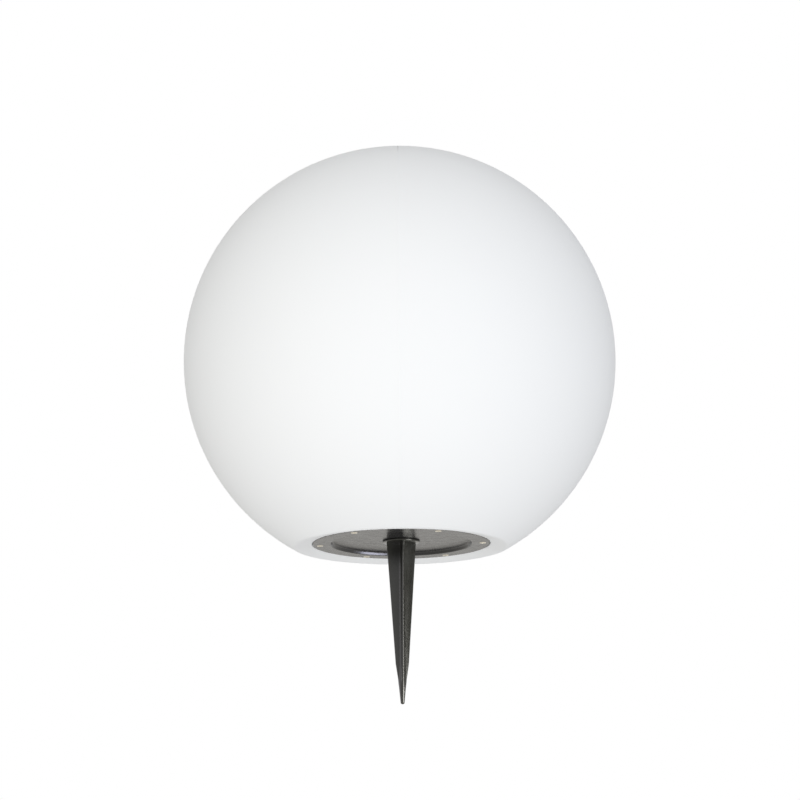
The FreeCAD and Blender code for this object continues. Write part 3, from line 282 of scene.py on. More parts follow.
def add(tree, kind, sockets=(), **settings):
    """Adds a node. Each socket gets a value, or a link where it is given another node's output."""
    node = tree.nodes.new("ShaderNode" + kind)
    for name, value in settings.items():
        setattr(node, name, value)
    for name, value in dict(sockets).items():
        if isinstance(value, bpy.types.NodeSocket):
            tree.links.new(value, node.inputs[name])
        else:
            node.inputs[name].default_value = value
    return node


def blank(name):
    """An empty material, its node tree and the object's own coordinates."""
    material = bpy.data.materials.new(name)
    material.use_nodes = True
    material.node_tree.nodes.clear()
    place = add(material.node_tree, "TexCoord")
    return material, material.node_tree, place.outputs["Object"]


def finish(tree, sockets):
    """Ends a material with its shader."""
    shader = add(tree, "BsdfPrincipled", sockets)
    add(tree, "OutputMaterial", {"Surface": shader.outputs["BSDF"]})


def per_mm(size):
    """Texture scale at which one feature is that many millimetres."""
    return 1 / (size * MM)


def darker(colour, share):
    return (*[c * share for c in colour], 1)


def surface(name, colour, roughness, grain, depth, patch=40, tint=0.9, spread=0.05,
            stretch=(1, 1, 1), **shader):
    """A cast, moulded, pressed or turned surface.

    A grain of the given size and depth in millimetres stands in relief. Broad patches take the
    colour down to the tint and move the roughness by the spread. Stretch draws both out.
    """
    material, tree, place = blank(name)
    drawn = add(tree, "Mapping", {"Vector": place, "Scale": stretch})
    where = drawn.outputs["Vector"]
    fine = add(tree, "TexNoise", {"Vector": where, "Scale": per_mm(grain), "Detail": 3.0})
    broad = add(tree, "TexNoise", {"Vector": where, "Scale": per_mm(patch), "Detail": 4.0})
    both = add(tree, "Math", {0: fine.outputs["Fac"], 1: broad.outputs["Fac"]}, operation="ADD")
    tone = add(tree, "MixRGB", {
        "Fac": broad.outputs["Fac"], "Color1": darker(colour, tint), "Color2": darker(colour, 1),
    })
    gloss = add(tree, "MapRange", {
        "Value": both.outputs[0], "From Min": 0.7, "From Max": 1.3,
        "To Min": roughness - spread, "To Max": roughness + spread,
    })
    relief = add(tree, "Bump", {
        "Height": fine.outputs["Fac"], "Distance": depth * MM, "Strength": 1.0,
    })
    finish(tree, {
        "Base Color": tone.outputs["Color"], "Roughness": gloss.outputs["Result"],
        "Normal": relief.outputs["Normal"], **shader,
    })
    return material


def blown_polyethylene():
    """White polyethylene, blow-moulded: satin, with the faint skin of a sand-blasted mould.

    Painted shade darkens the parting line, near the top of the ball only.
    """
    material = surface("white polyethylene, blow-moulded", colours().ball, 0.70, 1.4, 0.006,
                       patch=90, tint=0.985, spread=0.04, IOR=1.52, **{"Specular IOR Level": 0.35})
    tree = material.node_tree
    half_width = sizes().seam_width * 0.6
    darkest_share = 0.3
    crown = top("globe_diffuser")
    ends, full = crown - 44 * MM, crown - 28 * MM
    place = add(tree, "TexCoord")
    apart = add(tree, "SeparateXYZ", {"Vector": place.outputs["Object"]})
    beside = add(tree, "Math", {0: apart.outputs["X"]}, operation="ABSOLUTE")
    near = add(tree, "MapRange", {
        "Value": beside.outputs[0], "From Min": 0.0, "From Max": half_width,
        "To Min": darkest_share, "To Max": 0.0,
    })
    above = add(tree, "MapRange", {
        "Value": apart.outputs["Z"], "From Min": ends, "From Max": full,
    })
    # Mask of painted shade along the parting line: strongest on the seam, narrowing to nothing, and
    # only near the top of the ball.
    seam_shade = add(tree, "Math", {
        0: near.outputs["Result"], 1: above.outputs["Result"],
    }, operation="MULTIPLY")
    shader = next(node for node in tree.nodes if node.type == "BSDF_PRINCIPLED")
    colour = shader.inputs["Base Color"]
    # Mixes a grey into the ball's white under that mask. This grey is painted shade, not a colour
    # of the plastic.
    seam_shaded = add(tree, "MixRGB", {
        "Fac": seam_shade.outputs[0], "Color1": colour.links[0].from_socket,
        "Color2": (*linear("#6E6A62"), 1),
    })
    tree.links.new(seam_shaded.outputs["Color"], colour)
    return material


def glossy_abs():
    """Black ABS, injection-moulded: half glossy, so that it mirrors only what touches it."""
    return surface("black ABS, glossy moulding", colours().plate, 0.27, 9, 0.012,
                   patch=6, tint=0.6, spread=0.03, IOR=1.53)


def scuffed_polyamide():
    """Black polyamide, injection-moulded: half glossy, scuffed and cloudy from handling."""
    return surface("black polyamide, scuffed moulding", colours().spike, 0.20, 1.3, 0.003,
                   patch=4, tint=0.55, spread=0.03, stretch=(1, 1, 0.12), IOR=1.53)


def gland_polyamide():
    """Black polyamide, injection-moulded: even and satin."""
    return surface("black polyamide, moulded", colours().gland, 0.36, 0.5, 0.01, IOR=1.53)


def nitrile_rubber():
    """Nitrile rubber, pressed: matt, with a dusting of bloom."""
    return surface("nitrile rubber, pressed", colours().rubber, 0.78, 0.3, 0.02,
                   patch=12, tint=0.7, IOR=1.52)


def stainless_steel():
    """Stainless steel, cold-headed: warm grey metal with faint drawing marks."""
    return surface("stainless steel, cold-headed", linear("#DAD5C9"), 0.30, 0.4, 0.01,
                   patch=3, tint=0.85, spread=0.08, stretch=(1, 1, 3), Metallic=1.0)


def zinc_plate():
    """Steel sheet and screws, zinc-plated: bluish grey with cloudy gloss."""
    return surface("steel, zinc-plated", linear("#B9BEC4"), 0.34, 0.5, 0.01,
                   patch=4, tint=0.75, spread=0.12, Metallic=1.0)


def turned_brass():
    """Brass, turned from bar: yellow metal with fine rings from the cutting tool."""
    return surface("brass, turned", linear("#D9B566"), 0.28, 0.6, 0.02,
                   patch=5, tint=0.8, spread=0.08, stretch=(0.15, 0.15, 3), Metallic=1.0)


def sheet_brass():
    """Brass sheet, pressed: yellow metal, bright, a little stained."""
    return surface("brass sheet, pressed", linear("#DDBB70"), 0.25, 0.8, 0.01,
                   patch=4, tint=0.7, spread=0.10, Metallic=1.0)


def phenolic():
    """Phenolic resin, pressed: near-black and half glossy, with specks of its filler."""
    return surface("phenolic resin, pressed", colours().holder, 0.30, 0.6, 0.015,
                   patch=1.5, tint=0.55, spread=0.06, IOR=1.6)


def steatite():
    """Steatite ceramic, dry-pressed and fired: off-white, dense and slightly sugary."""
    return surface("steatite, pressed and fired", colours().carrier, 0.45, 0.35, 0.02,
                   patch=3, tint=0.9, IOR=1.6)


def block_polyamide():
    """Natural polyamide, injection-moulded: milky and satin."""
    return surface("natural polyamide, moulded", colours().block, 0.42, 0.7, 0.01,
                   patch=15, tint=0.93, IOR=1.53,
                   **{"Subsurface Weight": 0.1, "Subsurface Scale": 2 * MM})


def insulation(name, colour):
    """PVC, extruded over the strands: satin, with the slight waviness of the wire below."""
    return surface(name, colour, 0.38, 2.2, 0.03, patch=10, tint=0.85, IOR=1.54)


def opal_polycarbonate():
    """Opal polycarbonate, blow-moulded: milky white, half glossy, light sinks into it."""
    return surface("opal polycarbonate, moulded", colours().dome, 0.30, 1.5, 0.004,
                   patch=30, tint=0.98, IOR=1.58,
                   **{"Subsurface Weight": 0.2, "Subsurface Scale": 3 * MM})


def housing_plastic():
    """White PBT, injection-moulded: even, with a fine eroded texture."""
    return surface("white PBT, moulded", colours().housing, 0.40, 0.6, 0.012,
                   patch=25, tint=0.97, IOR=1.55)


def nickel_plate():
    """Brass sheet, rolled and nickel-plated: bright and slightly warm, with draw lines."""
    return surface("brass sheet, nickel-plated", linear("#CFC9BC"), 0.20, 0.5, 0.008,
                   patch=6, tint=0.85, spread=0.07, Metallic=1.0)


def vitrified_glass():
    """Black glass, fused into the cap: glossy, with small pits and ripples."""
    return surface("black glass, fused", linear("#0C0C10"), 0.08, 1.2, 0.03,
                   patch=4, tint=0.6, IOR=1.5)


def phosphor_silicone():
    """Silicone with phosphor, dispensed on the chips: egg yellow, glossy and slightly soft."""
    return surface("phosphor silicone, dispensed", linear("#E9C43C"), 0.22, 0.4, 0.02,
                   patch=1, tint=0.85, IOR=1.41,
                   **{"Subsurface Weight": 0.2, "Subsurface Scale": 1 * MM})


def laminate(name, mask, track, weave, width, metallic=0.0):
    """A circuit board: solder mask, tracks that show through it, and a weave or rolling grain.

    Widths are in millimetres. The tracks are the mortar of a brick pattern.
    """
    material, tree, place = blank(name)
    tracks = add(tree, "TexBrick", {
        "Vector": place, "Scale": per_mm(width), "Mortar Size": 0.09,
        "Color1": (*mask, 1), "Color2": darker(mask, 0.93), "Mortar": (*track, 1),
    })
    cloth = add(tree, "TexWave", {"Vector": place, "Scale": per_mm(weave), "Distortion": 1.0})
    height = add(tree, "Math", {
        0: tracks.outputs["Fac"], 1: cloth.outputs["Fac"], 2: 0.2,
    }, operation="MULTIPLY_ADD")
    relief = add(tree, "Bump", {
        "Height": height.outputs[0], "Distance": 0.03 * MM, "Strength": 1.0,
    })
    finish(tree, {
        "Base Color": tracks.outputs["Color"], "Roughness": 0.32, "Metallic": metallic,
        "Normal": relief.outputs["Normal"], "IOR": 1.55,
    })
    return material


def white_board():
    """Aluminium board under white solder mask: white, with the tracks faintly raised."""
    return laminate("aluminium board, white solder mask",
                    linear("#EEEEEA"), linear("#DCDCD6"), 1.0, 9)


def green_laminate():
    """Glass-fibre laminate under green solder mask: green, lighter over the tracks."""
    return laminate("glass-fibre laminate, green solder mask",
                    linear("#1E6B3A"), linear("#3F9A56"), 0.6, 5)


def dress(material, *nodes):
    """Gives CAD nodes a material."""
    for name in nodes:
        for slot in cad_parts[name].material_slots:
            slot.material = material


def wear(piece, material, body, slot, *nodes):
    """Gives a piece its material and its body, and hides the nodes that it stands for. The slot is
    not used.
    """
    piece.data.materials.clear()
    piece.data.materials.append(material)
    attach(piece, body)
    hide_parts(*nodes)


# ---------------------------------------------------------------- pieces


class PieceOperator:
    """What every piece's operator shares."""
    bl_options = {"REGISTER", "UNDO"}


def screw_places():
    """Where the six plate screws stand."""
    radius = reach("base_plate") - sizes().screw_inset
    turns = [sizes().screw_turn + FULL_TURN * i / 6 for i in range(6)]
    return [(radius * math.cos(a), radius * math.sin(a)) for a in turns]


def lip(ball, centre, height, inner, rounding, steps):
    """Section of the lip between the ball and the rim's slope.

    The rim starts at a height on the ball and slopes up to its inner end. The angle where the
    lip leaves the ball comes second.
    """
    corner = Vector((math.sqrt(ball ** 2 - (centre - height) ** 2), height))
    slope = (Vector(inner) - corner).normalized()
    up = Vector((slope.y, -slope.x))
    start = corner + up * rounding - Vector((0, centre))
    along = start.dot(slope)
    way = -along - math.sqrt(along ** 2 - start.length_squared + (ball - rounding) ** 2)
    middle = start + slope * way
    leaves = math.degrees(math.atan2(middle.y, middle.x))
    lands = math.degrees(math.atan2(-up.y, -up.x))
    return arc(middle.x, middle.y + centre, rounding, leaves, lands, steps), leaves


def ball_profile():
    """The ball's section from its top down the outside, round the rim and up the inside."""
    s = sizes()
    centre = top("globe_diffuser") - s.ball_radius
    opening = reach("base_plate") + s.plate_gap
    rise = bottom("base_plate")
    ledge = top("base_gasket")
    neck = opening + s.ball_wall
    edge = 0.5 * MM
    inside = s.ball_radius - s.ball_wall
    outer_lip, low = lip(s.ball_radius, centre, 0, (opening, rise), s.rim_round, 10)
    inner_lip, inner_low = lip(
        inside, centre, s.ball_wall, (neck, rise + s.ball_wall), s.rim_round - s.ball_wall, 6
    )
    outside = arc(0, centre, s.ball_radius, 90, low, 110) + outer_lip[1:]
    seat = (
        arc(opening + edge, rise + edge, edge, -100, -180, 4)
        + [(opening, ledge)]
        + arc(s.ledge_radius + edge, ledge + edge, edge, -90, -180, 4)
        + arc(s.ledge_radius + edge, ledge + s.ledge_thickness - edge, edge, 180, 90, 4)
        + [(neck, ledge + s.ledge_thickness), (neck, rise + s.ball_wall)]
    )
    lining = inner_lip[::-1] + arc(0, centre, inside, inner_low, 90, 60)[1:]
    return outside, seat, lining


def seam_turns(r, columns):
    """Directions of a ring's points: five close together at each parting line, the rest even."""
    half = sizes().seam_width / 2
    lines = [math.asin(min(1, share * half / r)) for share in (-1, -0.5, 0, 0.5, 1)]
    room = (FULL_TURN / 2 - 2 * lines[-1]) / columns
    right = [-RIGHT_ANGLE + lines[-1] + room * i for i in range(1, columns)]
    turns = [-RIGHT_ANGLE + a for a in lines] + right
    return turns + [a + FULL_TURN / 2 for a in turns]


class GLOBELIGHT_OT_ball(PieceOperator, bpy.types.Operator):
    """Make the blown ball with its parting line, rim, ledge and screw bosses"""
    bl_idname = "globelight.ball"
    bl_label = "Ball"

    def execute(self, context):
        s = sizes()
        outside, seat, lining = ball_profile()
        centre = Vector((0, 0, top("globe_diffuser") - s.ball_radius))
        columns = 96
        rings = []
        for part, profile in enumerate((outside, seat, lining)):
            for r, z in profile:
                row = ring(r, z, seam_turns(r, columns)) if r > MM else [Vector((0, 0, z))]
                if part == 0:
                    for point in row:
                        share = min(1, abs(point.x) / (s.seam_width / 2))
                        bead = s.seam_height * math.cos(share * RIGHT_ANGLE) ** 2
                        if share < 1:
                            point += (point - centre).normalized() * bead
                rings.append(row)
        bm = bmesh.new()
        skin(bm, rings)
        ball = to_object("ball", bm)
        insert_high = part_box("thread_inserts")[1]
        insert_radius = insert_high.y - max(y for _, y in screw_places())
        above, around = 0.5 * MM, 0.05 * MM
        boss, hole = bmesh.new(), bmesh.new()
        for place in screw_places():
            wall = insert_radius + s.boss_wall
            peak = insert_high.z + s.boss_wall + above
            side = [(0, top("base_gasket") + MM), (wall, top("base_gasket") + MM)]
            dome = arc(wall - MM, peak - MM, MM, 0, 90, 4)
            turned(boss, side + dome + [(0, peak)], 40, place)
            ceiling = insert_high.z + above
            bore = insert_radius + around
            turned(hole, [(0, 0), (bore, 0), (bore, ceiling), (0, ceiling)], 40, place)
        combine(ball, to_object("bosses", boss), "UNION")
        combine(ball, to_object("holes", hole), "DIFFERENCE")
        wear(ball, blown_polyethylene(), "globe", "globe", "globe_diffuser")
        return {"FINISHED"}


class GLOBELIGHT_OT_inserts(PieceOperator, bpy.types.Operator):
    """Give the six threaded inserts in the ball their brass"""
    bl_idname = "globelight.inserts"
    bl_label = "Threaded inserts"

    def execute(self, context):
        dress(turned_brass(), "thread_inserts")
        return {"FINISHED"}


def fin_ring(half_width, z, roundness=0.0, nose_radius=0.0):
    """The spike's section at a height: a round core and four drafted fins with rounded edges.

    Roundness blends it towards a circle of the nose's radius.
    """
    s = sizes()
    core, root = s.core_radius, s.fin_thickness / 2
    edge = root - (half_width - core) * math.tan(s.fin_draft)
    corner = s.fin_corner
    meets = math.asin(root / core)
    foot = core * math.cos(meets) + 0.4 * MM
    meets = math.degrees(meets) + 6
    quarter = (
        arc(half_width - corner, edge - corner, corner, 0, 90, 5)
        + [(foot, root)]
        + arc(0, 0, core, meets, 90 - meets, 8)
        + [(root, foot)]
        + arc(edge - corner, half_width - corner, corner, 0, 90, 5)
    )
    points = []
    for i in range(4):
        for x, y in quarter:
            point = Vector((x, y, 0))
            circle = point.normalized() * nose_radius
            point = point.lerp(circle, roundness)
            point.rotate(Matrix.Rotation(s.fin_turn + RIGHT_ANGLE * i, 3, "Z"))
            points.append(point + Vector((0, 0, z)))
    return points


class GLOBELIGHT_OT_spike(PieceOperator, bpy.types.Operator):
    """Make the four-finned ground spike with its nose, collar and spigot"""
    bl_idname = "globelight.spike"
    bl_label = "Ground spike"

    def execute(self, context):
        low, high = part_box("ground_spike")
        collar = reach("ground_spike")
        spigot_height, collar_thickness = 22 * MM, 2.2 * MM
        nose_height, shoulder_height = 27 * MM, 17.9 * MM
        collar_top = high.z - spigot_height
        collar_bottom = collar_top - collar_thickness
        tip = low.z
        nose = tip + nose_height
        shoulder = nose + shoulder_height
        widest, waist, nose_width = 16.8 * MM, 7.55 * MM, 4.8 * MM
        fins = [
            (widest, collar_bottom + MM), (widest, collar_bottom),
            (waist, shoulder), (nose_width, nose),
        ]
        ring_spacing = 12 * MM
        rings = []
        for (wide, start), (narrow, end) in zip(fins, fins[1:]):
            steps = max(1, round((start - end) / ring_spacing))
            rings += [
                fin_ring(wide + (narrow - wide) * i / steps, start + (end - start) * i / steps)
                for i in range(steps)
            ]
        nose_end = 2.3 * MM
        flatness = 0.8
        nose_steps = 6
        for i in range(nose_steps + 1):
            share = i / nose_steps
            radius = nose_width + (nose_end - nose_width) * share
            z = nose + (tip + nose_end * flatness - nose) * share
            rings.append(fin_ring(nose_width, z, min(1, 0.4 + share * 2), radius))
        for r, z in arc(0, tip + nose_end * flatness, nose_end, -15, -75, 3):
            rings.append(fin_ring(nose_width, tip + (z - tip) * flatness, 1, r))
        rings.append([Vector((0, 0, tip))])
        bm = bmesh.new()
        skin(bm, rings)
        spike = to_object("spike", bm, 40)
        rim = 0.8 * MM
        bore = 8.5 * MM
        spigot = 12 * MM
        chamfer = 1.2 * MM
        disc = bmesh.new()
        turned(disc, [(0, collar_bottom)]
               + arc(collar - rim, collar_bottom + rim, rim, -90, 0, 4)
               + arc(collar - rim, collar_top - rim, rim, 0, 90, 4)
               + arc(spigot + rim, collar_top + rim, rim, -90, -180, 3)
               + [(spigot, high.z - chamfer), (spigot - chamfer, high.z), (bore, high.z),
                  (bore, collar_top), (0, collar_top)], 96)
        combine(spike, to_object("collar", disc), "UNION", 40)
        wear(spike, scuffed_polyamide(), "spike", "spike", "ground_spike")
        return {"FINISHED"}


class GLOBELIGHT_OT_plate(PieceOperator, bpy.types.Operator):
    """Give the dished base plate and its gasket their finish"""
    bl_idname = "globelight.plate"
    bl_label = "Base plate and gasket"

    def execute(self, context):
        dress(glossy_abs(), "base_plate")
        dress(nitrile_rubber(), "base_gasket", "gland_washer", "gland_seal")
        return {"FINISHED"}


class GLOBELIGHT_OT_screws(PieceOperator, bpy.types.Operator):
    """Make the six pan-head screws with cross recesses and cut threads"""
    bl_idname = "globelight.screws"
    bl_label = "Plate screws"

    def execute(self, context):
        s = sizes()
        low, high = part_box("plate_screws")
        head_top = bottom("base_plate") + s.screw_sink
        head_radius, crown_radius, edge = 4 * MM, 9 * MM, 1.4 * MM
        recess_depth = (head_top - low.z) * 0.62
        head = bmesh.new()
        crown = arc(0, low.z + crown_radius, crown_radius, -90, -72, 5)
        side = arc(head_radius - edge, low.z + 1.5 * MM, edge, -50, 0, 5)
        turned(head, crown + side + [(head_radius, head_top), (0, head_top)], 48)
        screw = to_object("plate_screw_set", head, 40)
        for turn in (0, 1):
            recess, blade = bmesh.new(), []
            for z, half in ((low.z - MM, 2.6 * MM), (low.z + recess_depth, 1.1 * MM)):
                width = s.screw_slot / 2 * (1.2 if z < low.z else 0.8)
                corners = [(half, width), (-half, width), (-half, -width), (half, -width)]
                blade.append([Matrix.Rotation(RIGHT_ANGLE * turn, 3, "Z") @ Vector((x, y, z))
                              for x, y in corners])
            skin(recess, blade)
            combine(screw, to_object("recess", recess), "DIFFERENCE", 40)
        whole = bmesh.new()
        whole.from_mesh(screw.data)
        core, crest = 1.62 * MM, 2 * MM
        threaded(whole, [core, core, (core + crest) / 2, crest, crest, (core + crest) / 2],
                 s.screw_pitch, head_top - 0.3 * MM, high.z, core, 24)
        bmesh.ops.holes_fill(whole, edges=[e for e in whole.edges if e.is_boundary])
        whole.to_mesh(screw.data)
        whole.free()
        first_spin, next_spin = 25, 47
        set_of_screws = bmesh.new()
        for i, (x, y) in enumerate(screw_places()):
            copy = screw.data.copy()
            spin = Matrix.Rotation(math.radians(first_spin + next_spin * i), 4, "Z")
            copy.transform(Matrix.Translation((x, y, 0)) @ spin)
            set_of_screws.from_mesh(copy)
            bpy.data.meshes.remove(copy)
        set_of_screws.to_mesh(screw.data)
        set_of_screws.free()
        soften(screw, 40)
        wear(screw, stainless_steel(), "base", "steel", "plate_screws")
        return {"FINISHED"}


class GLOBELIGHT_OT_gland(PieceOperator, bpy.types.Operator):
    """Give the cable gland its finish"""
    bl_idname = "globelight.gland"
    bl_label = "Cable gland"

    def execute(self, context):
        dress(gland_polyamide(), "gland_body", "gland_nut", "gland_cap")
        return {"FINISHED"}


class GLOBELIGHT_OT_bracket(PieceOperator, bpy.types.Operator):
    """Give the bracket and the small screws their zinc plate"""
    bl_idname = "globelight.bracket"
    bl_label = "Bracket and small screws"

    def execute(self, context):
        dress(zinc_plate(), "holder_bracket", "bracket_screws", "holder_screws",
              "holder_terminal_screws", "terminal_screws", "block_screw")
        return {"FINISHED"}


class GLOBELIGHT_OT_holder(PieceOperator, bpy.types.Operator):
    """Give the lampholder, its carrier and its contacts their finish"""
    bl_idname = "globelight.holder"
    bl_label = "Lampholder"

    def execute(self, context):
        dress(phenolic(), "holder_base", "holder_mouth")
        dress(steatite(), "contact_carrier")
        dress(sheet_brass(), "thread_sleeve", "centre_contact")
        return {"FINISHED"}


class GLOBELIGHT_OT_terminals(PieceOperator, bpy.types.Operator):
    """Give the terminals, the terminal block and the two wires their finish"""
    bl_idname = "globelight.terminals"
    bl_label = "Terminals and wires"

    def execute(self, context):
        dress(turned_brass(), "holder_terminals", "terminal_tubes")
        dress(block_polyamide(), "terminal_block")
        dress(insulation("brown PVC, extruded", colours().live), "wire_live")
        dress(insulation("blue PVC, extruded", colours().neutral), "wire_neutral")
        return {"FINISHED"}


class GLOBELIGHT_OT_bulb(PieceOperator, bpy.types.Operator):
    """Make the bulb's threaded cap and give the bulb its finish"""
    bl_idname = "globelight.bulb"
    bl_label = "Bulb"

    def execute(self, context):
        s = sizes()
        low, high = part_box("bulb_cap")
        radius = reach("bulb_cap")
        steps = 12
        middle = radius - s.cap_thread / 2
        swing = s.cap_thread / 2
        wave = [middle - swing * math.cos(FULL_TURN * i / steps) for i in range(steps)]
        thread_low, thread_high = low.z + 1.6 * MM, high.z - 4.5 * MM
        bm = bmesh.new()
        threaded(bm, wave, s.cap_pitch, thread_low, thread_high, middle, 96)
        insulator = reach("bulb_insulator") - 0.1 * MM
        skirt = thread_high + 0.8 * MM
        turned(bm, [(insulator, low.z), (middle, thread_low)], 96, lids=False)
        turned(bm, [(middle, thread_high), (radius, skirt), (radius, high.z)], 96, lids=False)
        bmesh.ops.remove_doubles(bm, verts=bm.verts, dist=1e-6)
        cap = to_object("threaded_cap", bm, 50)
        sheet = cap.modifiers.new("sheet", "SOLIDIFY")
        sheet.thickness = s.cap_sheet
        sheet.offset = -1
        apply_modifiers(cap)
        soften(cap, 50)
        wear(cap, nickel_plate(), "bulb", "nickel", "bulb_cap")
        dress(nickel_plate(), "bulb_contact")
        dress(vitrified_glass(), "bulb_insulator")
        dress(opal_polycarbonate(), "bulb_dome")
        dress(housing_plastic(), "bulb_housing")
        return {"FINISHED"}


class GLOBELIGHT_OT_electronics(PieceOperator, bpy.types.Operator):
    """Give the bulb's circuit boards and chips their finish"""
    bl_idname = "globelight.electronics"
    bl_label = "Bulb electronics"

    def execute(self, context):
        dress(white_board(), "led_board")
        dress(phosphor_silicone(), "led_chips")
        dress(green_laminate(), "driver_board")
        return {"FINISHED"}


# ---------------------------------------------------------------- stage


def light_tent(front):
    """Soft light from the camera's half of the room, a little warm at left and cool at right."""
    stage = bpy.context.scene.globe_light_stage
    world = bpy.data.worlds.new("light tent")
    world.use_nodes = True
    tree = world.node_tree
    tree.nodes.clear()
    place = add(tree, "TexCoord")
    along = add(tree, "VectorMath", {
        0: place.outputs["Generated"], 1: front,
    }, operation="DOT_PRODUCT")
    across = add(tree, "SeparateXYZ", {"Vector": place.outputs["Generated"]})
    power = add(tree, "MapRange", {
        "Value": along.outputs["Value"], "From Min": -0.17, "From Max": 0.07,
        "To Min": 0.0, "To Max": stage.tent,
    }, interpolation_type="SMOOTHSTEP")
    side = add(tree, "MapRange", {"Value": across.outputs["X"], "From Min": -1.0, "From Max": 1.0})
    tint = add(tree, "MixRGB", {
        "Fac": side.outputs["Result"],
        "Color1": (*linear("#FFFEFA"), 1), "Color2": (*linear("#F9FBFF"), 1),
    })
    back = add(tree, "Background", {
        "Color": tint.outputs["Color"], "Strength": power.outputs["Result"],
    })
    add(tree, "OutputWorld", {"Surface": back.outputs["Background"]})
    bpy.context.scene.world = world


def seen_only(piece, *rays):
    """Shows a stage piece to some kinds of rays only."""
    for ray in ("camera", "diffuse", "glossy", "transmission", "volume_scatter", "shadow"):
        setattr(piece, "visible_" + ray, ray in rays)


def backdrop():
    """A white dome round the whole studio, which shows behind the lamp and in its gloss."""
    bm = bmesh.new()
    bmesh.ops.create_icosphere(bm, subdivisions=4, radius=16)
    dome = to_object("backdrop", bm)
    material, tree, _ = blank("white backlit fabric")
    glow = add(tree, "Emission", {"Color": (1, 1, 1, 1), "Strength": 1.0})
    add(tree, "OutputMaterial", {"Surface": glow.outputs["Emission"]})
    dome.data.materials.append(material)
    seen_only(dome, "camera", "glossy")


def flag():
    """A curved black card at the right, which darkens one side of the gloss on upright edges."""
    bm = bmesh.new()
    away, panels = 3, 12
    start, sweep = -90 + 25, 85
    turns = [math.radians(start + sweep * i / panels) for i in range(panels + 1)]
    for elevation in (math.radians(-0.5), math.radians(40)):
        for turn in turns:
            bm.verts.new((away * math.cos(turn), away * math.sin(turn), away * math.tan(elevation)))
    bm.verts.ensure_lookup_table()
    row = len(turns)
    for i in range(panels):
        bm.faces.new([bm.verts[k] for k in (i, i + 1, i + row + 1, i + row)])
    card = to_object("flag", bm)
    material, tree, _ = blank("black felt")
    felt = add(tree, "Emission", {"Color": (0.1, 0.1, 0.1, 1), "Strength": 1.0})
    add(tree, "OutputMaterial", {"Surface": felt.outputs["Emission"]})
    card.data.materials.append(material)
    seen_only(card, "glossy")


def studio_floor():
    """A pale painted floor, which fades into the white of the backdrop further out."""
    stage = bpy.context.scene.globe_light_stage
    bm = bmesh.new()
    turned(bm, [(0, -stage.floor_drop), (15.8, -stage.floor_drop)], 96, lids=False)
    ground = to_object("studio_floor", bm)
    material, tree, place = blank("pale painted floor")
    far = add(tree, "VectorMath", {0: place, 1: (0, 0, stage.floor_drop)}, operation="ADD")
    away = add(tree, "VectorMath", {0: far.outputs[0]}, operation="LENGTH")
    fade = add(tree, "MapRange", {
        "Value": away.outputs["Value"], "From Min": 9.0, "From Max": 15.5,
    }, interpolation_type="SMOOTHSTEP")
    mottle = add(tree, "TexNoise", {"Vector": place, "Scale": 6.0, "Detail": 4.0})
    tone = add(tree, "MixRGB", {
        "Fac": mottle.outputs["Fac"],
        "Color1": (*linear("#E3E0DA"), 1), "Color2": (*linear("#E8E5DF"), 1),
    })
    paint = add(tree, "MixRGB", {
        "Fac": fade.outputs["Result"], "Color1": tone.outputs["Color"], "Color2": (1, 1, 1, 1),
    })
    glow = add(tree, "Emission", {"Color": paint.outputs["Color"], "Strength": 1.0})
    add(tree, "OutputMaterial", {"Surface": glow.outputs["Emission"]})
    ground.data.materials.append(material)
    seen_only(ground, "camera", "glossy")


def softbox(name, place, target, width, height, power, colour, lit=()):
    """A rectangular lamp that shines at a point and doesn't show itself.

    It may light some pieces only.
    """
    data = bpy.data.lights.new(name, "AREA")
    data.shape = "RECTANGLE"
    data.size = width
    data.size_y = height
    data.energy = power
    data.color = linear(colour)
    lamp = bpy.data.objects.new(name, data)
    bpy.context.scene.collection.objects.link(lamp)
    lamp.location = place
    lamp.rotation_euler = (Vector(target) - Vector(place)).to_track_quat("-Z", "Y").to_euler()
    lamp.visible_camera = False
    if lit:
        lamp.light_linking.receiver_collection = bpy.data.collections.new(name + " receivers")
        for piece in lit:
            lamp.light_linking.receiver_collection.objects.link(piece)
    return lamp


class GLOBELIGHT_OT_stage(PieceOperator, bpy.types.Operator):
    """Set up the camera, the light tent, the backdrop, the card, the floor and the back light"""
    bl_idname = "globelight.stage"
    bl_label = "Camera and studio"

    def execute(self, context):
        stage = context.scene.globe_light_stage
        middle = Vector((0, 0, top("globe_diffuser") - sizes().ball_radius))
        front = Vector((0, -math.cos(stage.drop), -math.sin(stage.drop)))
        camera = bpy.data.objects.new("camera", bpy.data.cameras.new("camera"))
        context.scene.collection.objects.link(camera)
        camera.location = middle + front * stage.distance
        rise = stage.drop - stage.aim_low
        tilt = Matrix.Rotation(RIGHT_ANGLE + rise, 4, "X") @ Matrix.Rotation(stage.roll, 4, "Z")
        camera.rotation_euler = tilt.to_euler()
        camera.data.lens = stage.lens
        camera.data.sensor_width = 36
        context.scene.camera = camera
        context.scene.view_settings.view_transform = "Standard"
        a_little_right = Vector((0.05, 0, 0.0))
        light_tent((front + a_little_right).normalized())
        backdrop()
        flag()
        studio_floor()
        behind, width = 6, 1.6
        softbox("back light", middle - front * behind, middle, width, width, stage.back, "#FFFFFF")
        return {"FINISHED"}


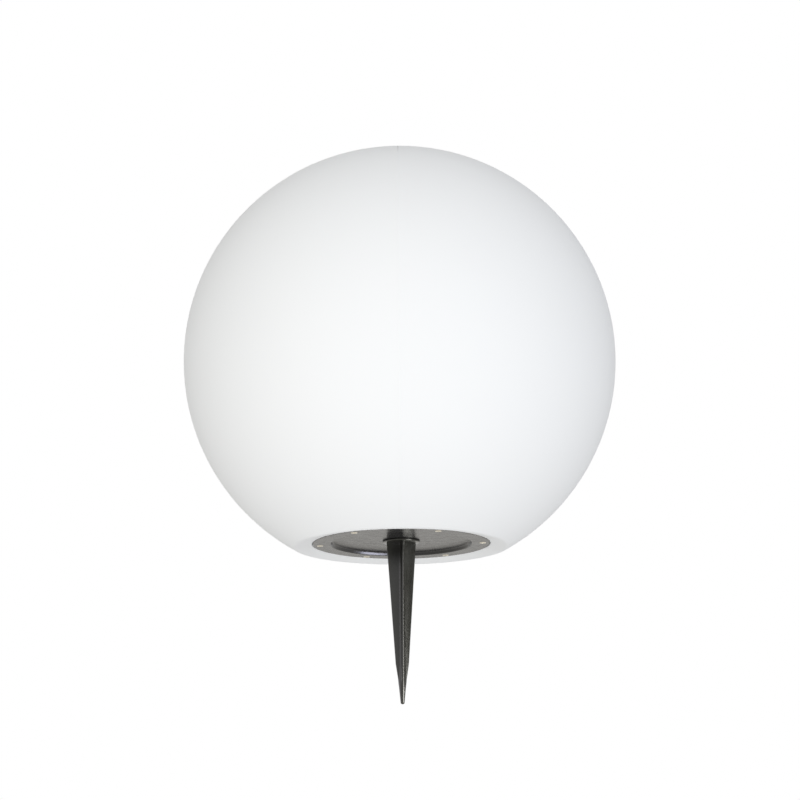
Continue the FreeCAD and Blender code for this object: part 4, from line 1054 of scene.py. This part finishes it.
class GLOBELIGHT_OT_lamps(PieceOperator, bpy.types.Operator):
    """Light the spike, the screws and the base plate by three lamps, for streaks in their gloss"""
    bl_idname = "globelight.lamps"
    bl_label = "Lamps for the black parts"

    def execute(self, context):
        strength = context.scene.globe_light_stage.lamp
        spike, screws = bpy.data.objects["spike"], bpy.data.objects["plate_screw_set"]
        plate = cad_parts["base_plate"]
        # Name, turn in degrees, place before the turn, width, height, watts, colour, lit pieces.
        for name, turn, place, width, height, power, colour, lit in (
            ("right lamp", 49, (0, -1.94, -0.48), 1.07, 0.9, 50, "#FFFEF6", [spike, screws]),
            ("low lamp", 51, (0, -1.51, -1.32), 1.7, 0.8, 62, "#EAEBFF", [plate]),
            ("left lamp", -95, (0, -2, 0.2), 1.8, 1.2, 9, "#F3EEF6", [spike]),
        ):
            where = Matrix.Rotation(math.radians(turn), 3, "Z") @ Vector(place)
            softbox(name, where, (0, 0, 0), width, height, power * strength, colour, lit)
        return {"FINISHED"}


class GLOBELIGHT_PT_panel(bpy.types.Panel):
    """Lists the lamp's pieces, sizes and colours in the sidebar"""
    bl_idname = "GLOBELIGHT_PT_panel"
    bl_label = "Globe light"
    bl_space_type = "VIEW_3D"
    bl_region_type = "UI"
    bl_category = "Globe light"

    def draw(self, context):
        for operator in OPERATORS:
            self.layout.operator(operator.bl_idname)
        for group in (context.scene.globe_light_sizes, context.scene.globe_light_colours,
                      context.scene.globe_light_stage):
            box = self.layout.box()
            for name in group.__annotations__:
                box.prop(group, name)


GROUPS = (GlobeLightSizes, GlobeLightColours, GlobeLightStage)
OPERATORS = (
    GLOBELIGHT_OT_stage, GLOBELIGHT_OT_ball, GLOBELIGHT_OT_inserts, GLOBELIGHT_OT_spike,
    GLOBELIGHT_OT_plate, GLOBELIGHT_OT_screws, GLOBELIGHT_OT_gland, GLOBELIGHT_OT_bracket,
    GLOBELIGHT_OT_holder, GLOBELIGHT_OT_terminals, GLOBELIGHT_OT_bulb, GLOBELIGHT_OT_electronics,
    GLOBELIGHT_OT_lamps,
)
CLASSES = GROUPS + OPERATORS + (GLOBELIGHT_PT_panel,)


def register():
    for one in CLASSES:
        bpy.utils.register_class(one)
    bpy.types.Scene.globe_light_sizes = PointerProperty(type=GlobeLightSizes)
    bpy.types.Scene.globe_light_colours = PointerProperty(type=GlobeLightColours)
    bpy.types.Scene.globe_light_stage = PointerProperty(type=GlobeLightStage)


def unregister():
    del bpy.types.Scene.globe_light_stage
    del bpy.types.Scene.globe_light_colours
    del bpy.types.Scene.globe_light_sizes
    for one in reversed(CLASSES):
        bpy.utils.unregister_class(one)


def corners(box):
    """A box's two corners as plain lists."""
    return [[float(value) for value in corner] for corner in box]


def main():
    register()
    for operator in OPERATORS:
        group, name = operator.bl_idname.split(".")
        getattr(getattr(bpy.ops, group), name)()


if __name__ == "__main__":
    main()
